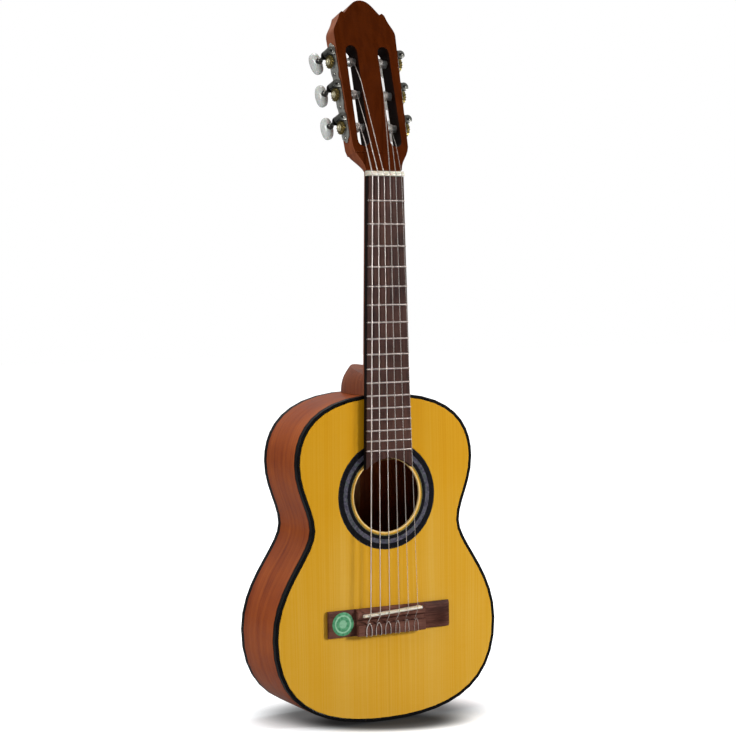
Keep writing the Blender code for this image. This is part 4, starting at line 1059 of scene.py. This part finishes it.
def make_camera():
    """Stands low at the bass side, turned 28 degrees and tipped 2.5 degrees down."""
    turn, tip, roll = radians(CAMERA_TURN), radians(CAMERA_TIP), radians(CAMERA_ROLL)
    forward = Vector((-sin(turn) * cos(tip), cos(turn) * cos(tip), -sin(tip)))
    right = Vector((cos(turn), sin(turn), 0.0))
    up = right.cross(forward)
    level_right = right * cos(roll) + up * sin(roll)
    level_up = up * cos(roll) - right * sin(roll)
    data = bpy.data.cameras.new("camera")
    data.sensor_width = SENSOR
    data.lens = CAMERA_LENS
    data.clip_start, data.clip_end = 0.05, 60.0
    camera = linked("camera", data)
    basis = Matrix((level_right, level_up, -forward)).transposed().to_4x4()
    camera.matrix_world = Matrix.Translation(at(*CAMERA_PLACE)) @ basis
    bpy.context.scene.camera = camera


# ---------------------------------------------------------------- assembly

UP_NECK = (0.9, 0.9, 0.018)
ALONG_RIB = (0.020, 0.9, 0.020)
MATS = {
    "spruce": spruce(),
    "rib": wood("mahogany_rib", [(130, 53, 15), (153, 68, 22), (166, 79, 27), (181, 92, 35)],
                ALONG_RIB, 0.34, 0.16, 0.25, 0.50, specular=0.16),
    "back": wood("mahogany_back", [(112, 48, 20), (136, 64, 28), (150, 76, 34), (166, 90, 42)],
                 UP_NECK, 0.30, 0.35, 0.45, 0.3, mirror=True),
    "neck": wood("neck_wood", [(96, 44, 24), (122, 62, 36), (140, 76, 46), (158, 90, 58)],
                 UP_NECK, 0.32, 0.12, 0.4, 0.3, worn=(176, 100, 60),
                 veneer=((66, 23, 2), (76, 29, 4), (34, 14, 8)), specular=0.12),
    "rosewood": wood("bridge_rosewood", [(38, 17, 12), (66, 35, 27), (92, 56, 46), (118, 78, 66)],
                     (0.022, 0.9, 0.9), 0.44, 0.03, 0.6, 0.6, worn=(128, 86, 72), specular=0.08),
    # the board's sideways faces get painted shade through stain
    "board": wood("board_rosewood", [(29, 15, 13), (49, 29, 25), (66, 40, 34), (85, 54, 45)],
                  (1.1, 1.1, 0.016), 0.46, 0.02, 0.6, 0.3, worn=(112, 78, 66), stain=(20, 15, 14),
                  specular=0.08),
    "cedar": wood("lining_cedar", [(138, 92, 54), (168, 120, 76), (186, 140, 94)],
                  UP_NECK, 0.7, 0.0, 0.3, 0.3),
    "binding": lacquer("black_binding_gloss", (4, 4, 5), (10, 10, 12), 0.22, 0.10, 0.10),
    "rosette": rosette(),
    "bone": bone(),
    "pearl": pearloid(),
    "fret": metal("fret_nickel", (176, 160, 154), (212, 200, 194), 0.34, (0.2, 2.0, 2.0)),
    "nickel": metal("plate_nickel", (158, 160, 152), (206, 206, 200), 0.32, tarnish=(116, 112, 110),
                    metallic=0.5),
    "hood_steel": metal("bracket_hood_steel", (84, 84, 80), (130, 130, 124), 0.32,
                        tarnish=(60, 58, 54), metallic=0.7),
    # near-black steel that stands in for shade on the outer brackets
    "painted_shade_steel": metal("bracket_black_steel", (20, 19, 18), (40, 38, 35), 0.34,
                         tarnish=(60, 58, 52)),
    "bright_nickel": metal("screw_nickel", (170, 168, 160), (220, 218, 210), 0.22),
    "dark_steel": metal("worm_steel", (72, 71, 68), (122, 120, 114), 0.28, tarnish=(44, 44, 42)),
    "brass": metal("gear_brass", (132, 114, 62), (176, 156, 98), 0.32, tarnish=(84, 72, 38)),
    # brass for the gear screws, painted nearly white as a highlight
    "highlight_brass": metal("screw_brass", (232, 218, 172), (252, 246, 218), 0.32, metallic=0.7),
    "roller": metal("roller_steel", (190, 190, 187), (236, 235, 232), 0.32, tarnish=(150, 148, 142),
                    metallic=0.7),
    "wound": wound(),
    "nylon": nylon(),
}

dress("soundboard", MATS["spruce"], 0.25)
dress("back", MATS["back"], 0.3)
for rib in ("rib_bass", "rib_treble"):
    dress(rib, MATS["rib"], 0.0)
for strip in ("binding_top", "binding_back"):
    dress(strip, MATS["binding"], 0.7, 3)
for inner in ("lining_top", "lining_back", "tail_block", "back_bracing", "top_bracing"):
    dress(inner, MATS["cedar"], 0.0)
dress("neck", MATS["neck"], 0.0)
dress("fingerboard", MATS["board"], 0.3)
for number in range(1, 18):
    dress("fret_%02d" % number, MATS["fret"], 0.0)
dress("saddle", MATS["bone"], 0.4, 3)
dress("bridge", MATS["rosewood"], 0.35, 3)
for number in range(1, 7):
    dress("gear_%d" % number, MATS["brass"], 0.15)
    dress("roller_%d" % number, MATS["roller"], 0.2)
    make_key(number, MATS)
    make_gear_screw(number, MATS)
for side in SIDES:
    make_plate(side, MATS)
make_rosette(MATS["rosette"])
make_nut(MATS["bone"])
make_strings(MATS)
make_label(label_green())

world_light()
for lamp in LAMPS:
    area_light(*lamp)
make_floor()
make_camera()
bpy.context.scene.view_settings.view_transform = "Standard"
